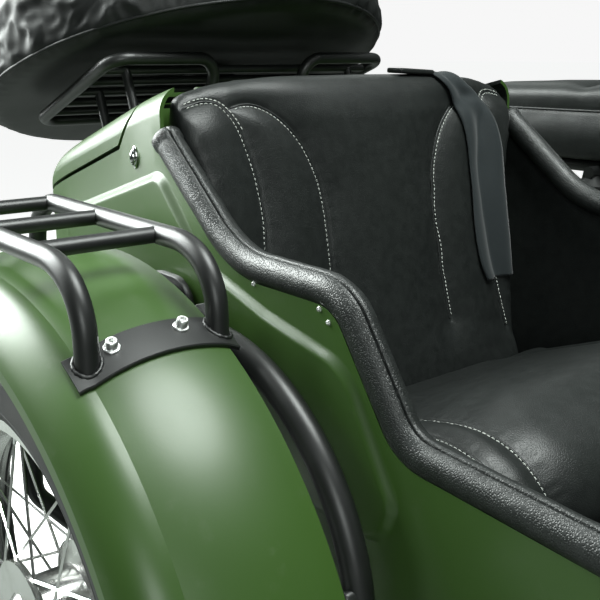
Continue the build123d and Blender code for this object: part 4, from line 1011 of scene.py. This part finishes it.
# Mudguard hoop: one steel tube in black enamel, bent up from the chassis rail, over beside the
# mudguard and down again, with four small steel clips welded to it that carry the mudguard
hoop_corners = [
    spot(-309, -962, 205), spot(-347, -1042, 300), spot(-347, -1042, 688),
    spot(397, -1042, 688), spot(397, -1042, 300), spot(359, -962, 205),
]
hoop_line = rounded(hoop_corners, [0.040, 0.225, 0.225, 0.040], 0.007)
hoop_radius = 0.014
side = Vector((0, 1, 0))
rings = []
for middle, along in zip(hoop_line, directions(hoop_line)):
    side = (side - along * side.dot(along)).normalized()
    rings.append(round_ring(middle, side, along.cross(side), hoop_radius, 32))
hoop = new_piece("guard_hoop_tube", *loft(rings), [black_paint], 40)
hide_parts("guard_hoop")
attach(hoop, "outfit")
guard_middle = Matrix.Translation(spot(25, -1049, 335))
for n, angle in enumerate((-66, -18, 22, 66)):
    turned = guard_middle @ Matrix.Rotation(math.radians(angle), 4, "Y") @ Matrix.Translation((0, 0, 0.400))
    clip = soft_block("hoop_clip_%d" % n, turned, (0.024, 0.030, 0.030), 0.005, 4, black_paint)
    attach(clip, "outfit")

# Spring strut's top cover: a moulded black cap on the shock tower, rounded like its housing, with
# a raised lip round the edge next to the body
lip_table = ((35, 650), (-12, 650), (-12, 716), (20, 722), (86, 722), (86, 650), (35, 650))
lip_corners = [side_spot(x, z) for x, z in lip_table]
lip_middle = side_spot(37, 685)
lip_ring = rounded(lip_corners, [0.006, 0.009, 0.022, 0.034, 0.006], 0.003)[:-1]
lip_rows = (
    # metres in from the outline, y
    (0.0, -1009), (0.0, -1015), (0.0010, -1016.5), (0.0050, -1017), (0.0085, -1015.5), (0.0090, -1019),
    (0.0095, -1044), (0.0110, -1046), (0.0140, -1047),
)
rings = []
for shrink, y in lip_rows:
    ring = []
    for n, edge in enumerate(lip_ring):
        along = lip_ring[(n + 1) % len(lip_ring)] - lip_ring[n - 1]
        inward = Vector((-along.z, 0, along.x)).normalized()
        if inward.dot(lip_middle - edge) < 0:
            inward = -inward
        ring.append(edge + inward * shrink + Vector((0, spot(0, y, 0).y, 0)))
    rings.append(ring)
cap = new_piece("strut_top_cover", *loft(rings), [black_paint], 35)
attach(cap, "outfit")

# Sidecar mudguard: one deep pressing with a rolled edge, enamelled with the body's green, carried
# by the tubular hoop's clips under it, and with a lamp at each end
dress(green_paint, "sidecar_mudguard")
dress(black_paint, "shock_tower", "sidecar_shock", "sidecar_arm", "chassis", "link_struts", "tow_eye")

# Tyres: cross-ply road tyres with five chevron-cut ribs, mounted on the three spoked rims, with
# fine moulded rings on their walls and a bead that sits in the rim
tyre_rubber, shader, place = surface("tyre_rubber")
weather = place.noise(16.0, 5.0, 0.6)
colour = weather.ramp(0.35, 0.75).mix((0.016, 0.0165, 0.017, 1), (0.032, 0.032, 0.031, 1))
finish_surface(shader, place, colour, 0.60 + 0.18 * weather, place.noise(380.0, 2.0).bump(0.3, 0.0005))
wheel_z = 330
wheel_places = (
    # word, x, y of the wheel's middle, body
    ("sidecar", 0, -1160, "sidecar_roller"),
    ("front", 1430, 0, "front_roller"),
    ("rear", -60, 0, "rear_roller"),
)
tread_rows = (
    # mm from the tyre's middle along the tread, and whether it lies in a groove
    (0, 0), (8.2, 0), (8.8, 1), (11.6, 1), (12.2, 0), (17.5, 0), (23.0, 0), (23.6, 1), (26.2, 1), (26.8, 0),
    (32.5, 0), (38.0, 0), (43.0, 0), (45.6, 0),
)
wall_rows = (
    # radius, half width of the tyre's wall
    (309.5, 47.4), (303, 49.4), (302, 50.4), (300, 50.5), (299, 49.9), (292, 51.2), (284, 51.9), (276, 51.8),
    (268, 50.6), (267, 51.0), (265, 50.6), (264, 49.6), (256, 46.6), (249, 41.8), (244, 36.4), (241, 31.0),
    (238.4, 30.0), (225.5, 30.0),
)
tyre_radius = 330
tread_reach, tread_drop = 44.72, 16
crown_radius = (tread_reach ** 2 + tread_drop ** 2) / (2 * tread_drop)
crown_foot = tyre_radius - crown_radius
half = [(crown_foot + math.sqrt(crown_radius ** 2 - e * e), e, low, 1) for e, low in tread_rows]
half += [(r, w, 0, 0) for r, w in wall_rows]
rows = [(r, -e, low, tread) for r, e, low, tread in reversed(half)] + half[1:]
pitches = 84
groove_depth, chevron_depth = 5.5, 3.8
cut = (
    # share of one pitch, whether it lies in the chevron's cut
    (0.0, 0), (0.36, 0), (0.70, 0), (0.73, 1), (0.97, 1),
)
for word, x, y, body in wheel_places:
    hub = spot(x, y, wheel_z)
    points = []
    for n in range(pitches):
        for share, deep in cut:
            for r, e, low, tread in rows:
                slant = 0.9 * abs(e) / 45 + (0.25 if 12 < abs(e) < 24 else 0.0)
                turn = (n + share + (slant if tread else 0.9)) * math.tau / pitches
                chevron = deep and tread and 8 < abs(e) < 44
                radius = (r - (groove_depth if low else chevron_depth if chevron else 0.0)) / 1000
                points.append(hub + Vector((radius * math.cos(turn), e / 1000, radius * math.sin(turn))))
    faces = closed_faces(pitches * len(cut), len(rows))
    tyre = new_piece(word + "_treaded_tyre", points, faces, [tyre_rubber], 30)
    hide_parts(word + "_tyre")
    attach(tyre, body)

# Wheels: polished light-alloy rims laced with plated spokes to alloy hubs, each spoke held in
# the rim by a nipple in a pressed dimple, and a filling valve on each rim
rim_alloy, shader, place = surface("rim_alloy", metallic=1.0)
fine = place.noise(700.0, 2.0)
colour = place.noise(30.0, 5.0).ramp(0.45, 0.8).mix((0.80, 0.80, 0.79, 1), (0.62, 0.62, 0.60, 1))
finish_surface(shader, place, colour, 0.16 + 0.12 * place.noise(18.0, 4.0), fine.bump(0.06, 0.0002))
dress(rim_alloy, "front_wheel", "rear_wheel", "sidecar_wheel")
nipple_rows = (
    # metres down from the rim, radius in mm
    (-0.001, 5.6), (0.0012, 5.4), (0.0018, 3.2), (0.0045, 3.0), (0.0050, 2.4), (0.014, 2.3), (0.0150, 1.9),
)
valve_rows = (
    # metres up from the rim's foot, radius in mm
    (0.0, 3.2), (0.012, 3.2), (0.0125, 2.6), (0.026, 2.6), (0.027, 3.4), (0.036, 3.4), (0.037, 2.2),
)
spokes = 18
for word, x, y, body in wheel_places:
    hub = spot(x, y, wheel_z)
    points = []
    faces = []
    for side in (1, -1):
        for n in range(spokes):
            at_hub = n * math.tau / spokes + side * math.tau / (4 * spokes)
            at_rim = at_hub + math.radians(48 if n % 2 else -48)
            low = Vector((0.066 * math.cos(at_hub), side * 0.038, 0.066 * math.sin(at_hub)))
            high = Vector((0.2155 * math.cos(at_rim), side * 0.007, 0.2155 * math.sin(at_rim)))
            inward = (low - high).normalized()
            one = inward.orthogonal().normalized()
            two = inward.cross(one)
            rings = []
            for along, thick in nipple_rows:
                rings.append(round_ring(hub + high + inward * along, one, two, thick / 1000, 8))
            add_loft(points, faces, rings)
    nipples = new_piece(word + "_spoke_nipples", points, faces, [polished], 40)
    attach(nipples, body)
    rings = []
    for tall, thick in valve_rows:
        middle = hub + Vector((0, 0.020, tall - 0.2145))
        rings.append(round_ring(middle, Vector((0, 1, 0)), Vector((1, 0, 0)), thick / 1000, 10))
    valve = new_piece(word + "_filling_valve", *loft(rings), [tyre_rubber], 40)
    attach(valve, body)
alloy, shader, place = surface("cast_alloy", metallic=0.85)
grain = place.noise(420.0, 3.0, 0.6)
colour = grain.ramp(0.3, 0.7).mix((0.36, 0.365, 0.37, 1), (0.50, 0.505, 0.51, 1))
finish_surface(shader, place, colour, 0.42 + 0.14 * place.noise(60.0, 3.0), grain.bump(0.25, 0.0006))
dress(alloy, "front_brake", "sidecar_brake")
dress(polished, "front_axle")

# Boot lid and its rack: a pressed steel lid in the body's green, hinged behind the seat, with a
# black tubular rack bolted to it that carries the spare wheel
dress(green_paint, "boot_lid")
dress(black_paint, "boot_rack", "spare_spacer")

# Spare wheel cover: a round bag of thin black vinyl drawn over the tyre, with a welted seam at each
# edge of its side band, loose enough to hang in folds between them
vinyl, shader, place = surface("thin_black_vinyl", Specular_IOR_Level=0.35)
pores = place.noise(800.0, 2.0)
crease = place.noise(30.0, 5.0, 0.62)
colour = crease.ramp(0.3, 0.75).mix((0.0045, 0.0055, 0.0052, 1), (0.0085, 0.0098, 0.0094, 1))
roughness = 0.44 + 0.14 * place.noise(12.0, 3.0)
finish_surface(shader, place, colour, roughness, (0.3 * pores + 0.5 * crease).bump(0.22, 0.0009))
cover = soft_form("spare_cover", "spare_wheel_cover", *mesh_lists(merged_copy("spare_cover")), 0.009, vinyl)
table = np.array([tuple(v.co) for v in cover.data.vertices])
cover_mid = Vector(table.mean(0))
spread = np.linalg.eigh(np.cov((table - table.mean(0)).T))
cover_up = Vector(spread[1][:, 0])
cover_up = cover_up if cover_up.z > 0 else -cover_up
cover_x = (Vector((1, 0, 0)) - cover_up * cover_up.x).normalized()
cover_y = cover_up.cross(cover_x)
finer = cover.modifiers.new("finer", "SUBSURF")
finer.levels = 1
bpy.ops.object.modifier_apply(modifier="finer")
normals = [n.vector.copy() for n in cover.data.vertex_normals]
for vert, normal in zip(cover.data.vertices, normals):
    offset = vert.co - cover_mid
    tall = offset.dot(cover_up)
    turn = math.atan2(offset.dot(cover_y), offset.dot(cover_x))
    radius = (offset - cover_up * tall).length
    band = min(1.0, max(0.0, (radius - 0.25) / 0.07)) * max(0.0, 1 - (abs(tall) / 0.062) ** 4)
    here = Vector((math.cos(turn) * 3.0, math.sin(turn) * 3.0, tall * 9))
    gather = abs(noise.noise(here * 2.1)) + 0.55 * abs(noise.noise(here * 4.7 + Vector((5, 1, 2))))
    slack = noise.noise(vert.co * 4) + 0.3 * noise.noise(vert.co * 9)
    vert.co -= normal * (0.010 * band * gather + 0.004 * (1.0 - band) * (slack + 0.4))
cover_tree = tree_of(cover)
for n, tall in enumerate((0.050, -0.050)):
    ring = round_ring(cover_mid + cover_up * tall, cover_x, cover_y, 0.334, 239)
    welt("cover_welt_%d" % n, cover_tree, [*ring, ring[0]], 0.0026, vinyl, "boot_cover")
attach(cover, "boot_cover")

# Lamps: glass and red moulded lenses in black shells, on the sidecar's mudguard, the headlight
# and the motorcycle's tail
lens, shader, place = surface("ribbed_glass", IOR=1.45)
bands = {"Vector": place, "Scale": 60.0, "Distortion": 0.4}
ribs = place.make("ShaderNodeTexWave", bands, "Fac", bands_direction="Y")
colour = ribs.mix((0.62, 0.65, 0.66, 1), (0.80, 0.83, 0.84, 1))
finish_surface(shader, place, colour, 0.08 + 0.08 * ribs, ribs.bump(0.5, 0.002))
red_lens, shader, place = surface("red_moulding", Coat_Weight=0.5)
ribs = place.make("ShaderNodeTexWave", {"Vector": place, "Scale": 70.0}, "Fac", bands_direction="Z")
colour = ribs.mix((0.30, 0.008, 0.008, 1), (0.48, 0.015, 0.012, 1))
finish_surface(shader, place, colour, 0.12 + 0.1 * ribs, ribs.bump(0.4, 0.001))
dress(lens, "headlight_lens", "sidecar_lamp")
dress(red_lens, "tail_lamp", "sidecar_tail_lamp")

# Saddle: a long padded seat in black hide on a steel pan, with a welted seam round its side and
# five sewn channels across it
saddle = soft_form("saddle", "sewn_saddle", *mesh_lists(merged_copy("saddle")), 0.0075, hide)
saddle_rest = tree_of(saddle)
saddle_mid = spot(150, 0, 868)
ring = []
for k in range(361):
    turn = k * math.tau / 360
    aim = Vector((math.cos(turn), math.sin(turn) * 0.35, 0)).normalized()
    hit = saddle_rest.ray_cast(saddle_mid + aim * 0.6, -aim)[0]
    if hit is not None:
        ring.append(hit)
channels = []
for x in (-40, 60, 160, 260, 360):
    channels.append([saddle_rest.ray_cast(spot(x, y, 990), down)[0] for y in range(-104, 105, 3)])
saddle_foot = spot(0, 0, 800).z


def saddle_held(place, normal):
    return normal.z < -0.5 or place.z < saddle_foot


fill_out(saddle, [ring, *channels], 0.006, 0.010, saddle_held)
saddle_lines = sink_seams(saddle, [ring, *channels], 0.0026, 0.0034, 0.0002)
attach(saddle, "outfit")
saddle_tree = tree_of(saddle)
welt("saddle_welt", saddle_tree, saddle_lines[0], 0.0024, hide, "outfit")

# Engine, gearbox and exhaust: cast light-alloy cases and finned cylinders, two carburettors with
# rubber-bushed stubs, and plated pipes that end in two long mufflers
dress(alloy, "crankcase", "gearbox", "cylinders", "carburettors", "fork_legs")
dress(polished, "exhaust_pipes", "muffler", "handlebar")

# Frame, fork and fittings: welded steel tube and brackets in black enamel, green enamelled tank,
# boxes, guards and headlight shell, and moulded rubber where hands and feet rest
grip_rubber, shader, place = surface("moulded_rubber")
mould = place.noise(240.0, 3.0)
colour = mould.ramp(0.3, 0.8).mix((0.014, 0.014, 0.014, 1), (0.022, 0.022, 0.021, 1))
finish_surface(shader, place, colour, 0.55 + 0.15 * mould, mould.bump(0.25, 0.0005))
dress(grip_rubber, "grips", "footrests")
dress(green_paint, "fuel_tank", "side_boxes", "rear_mudguard", "front_mudguard", "headlight_shell")
dress(
    black_paint, "frame_backbone", "frame_cradle", "rear_swingarm", "rear_shocks", "fork_clamps",
    "headlight_ears", "speedometer", "levers_and_mirrors", "seat_base",
)
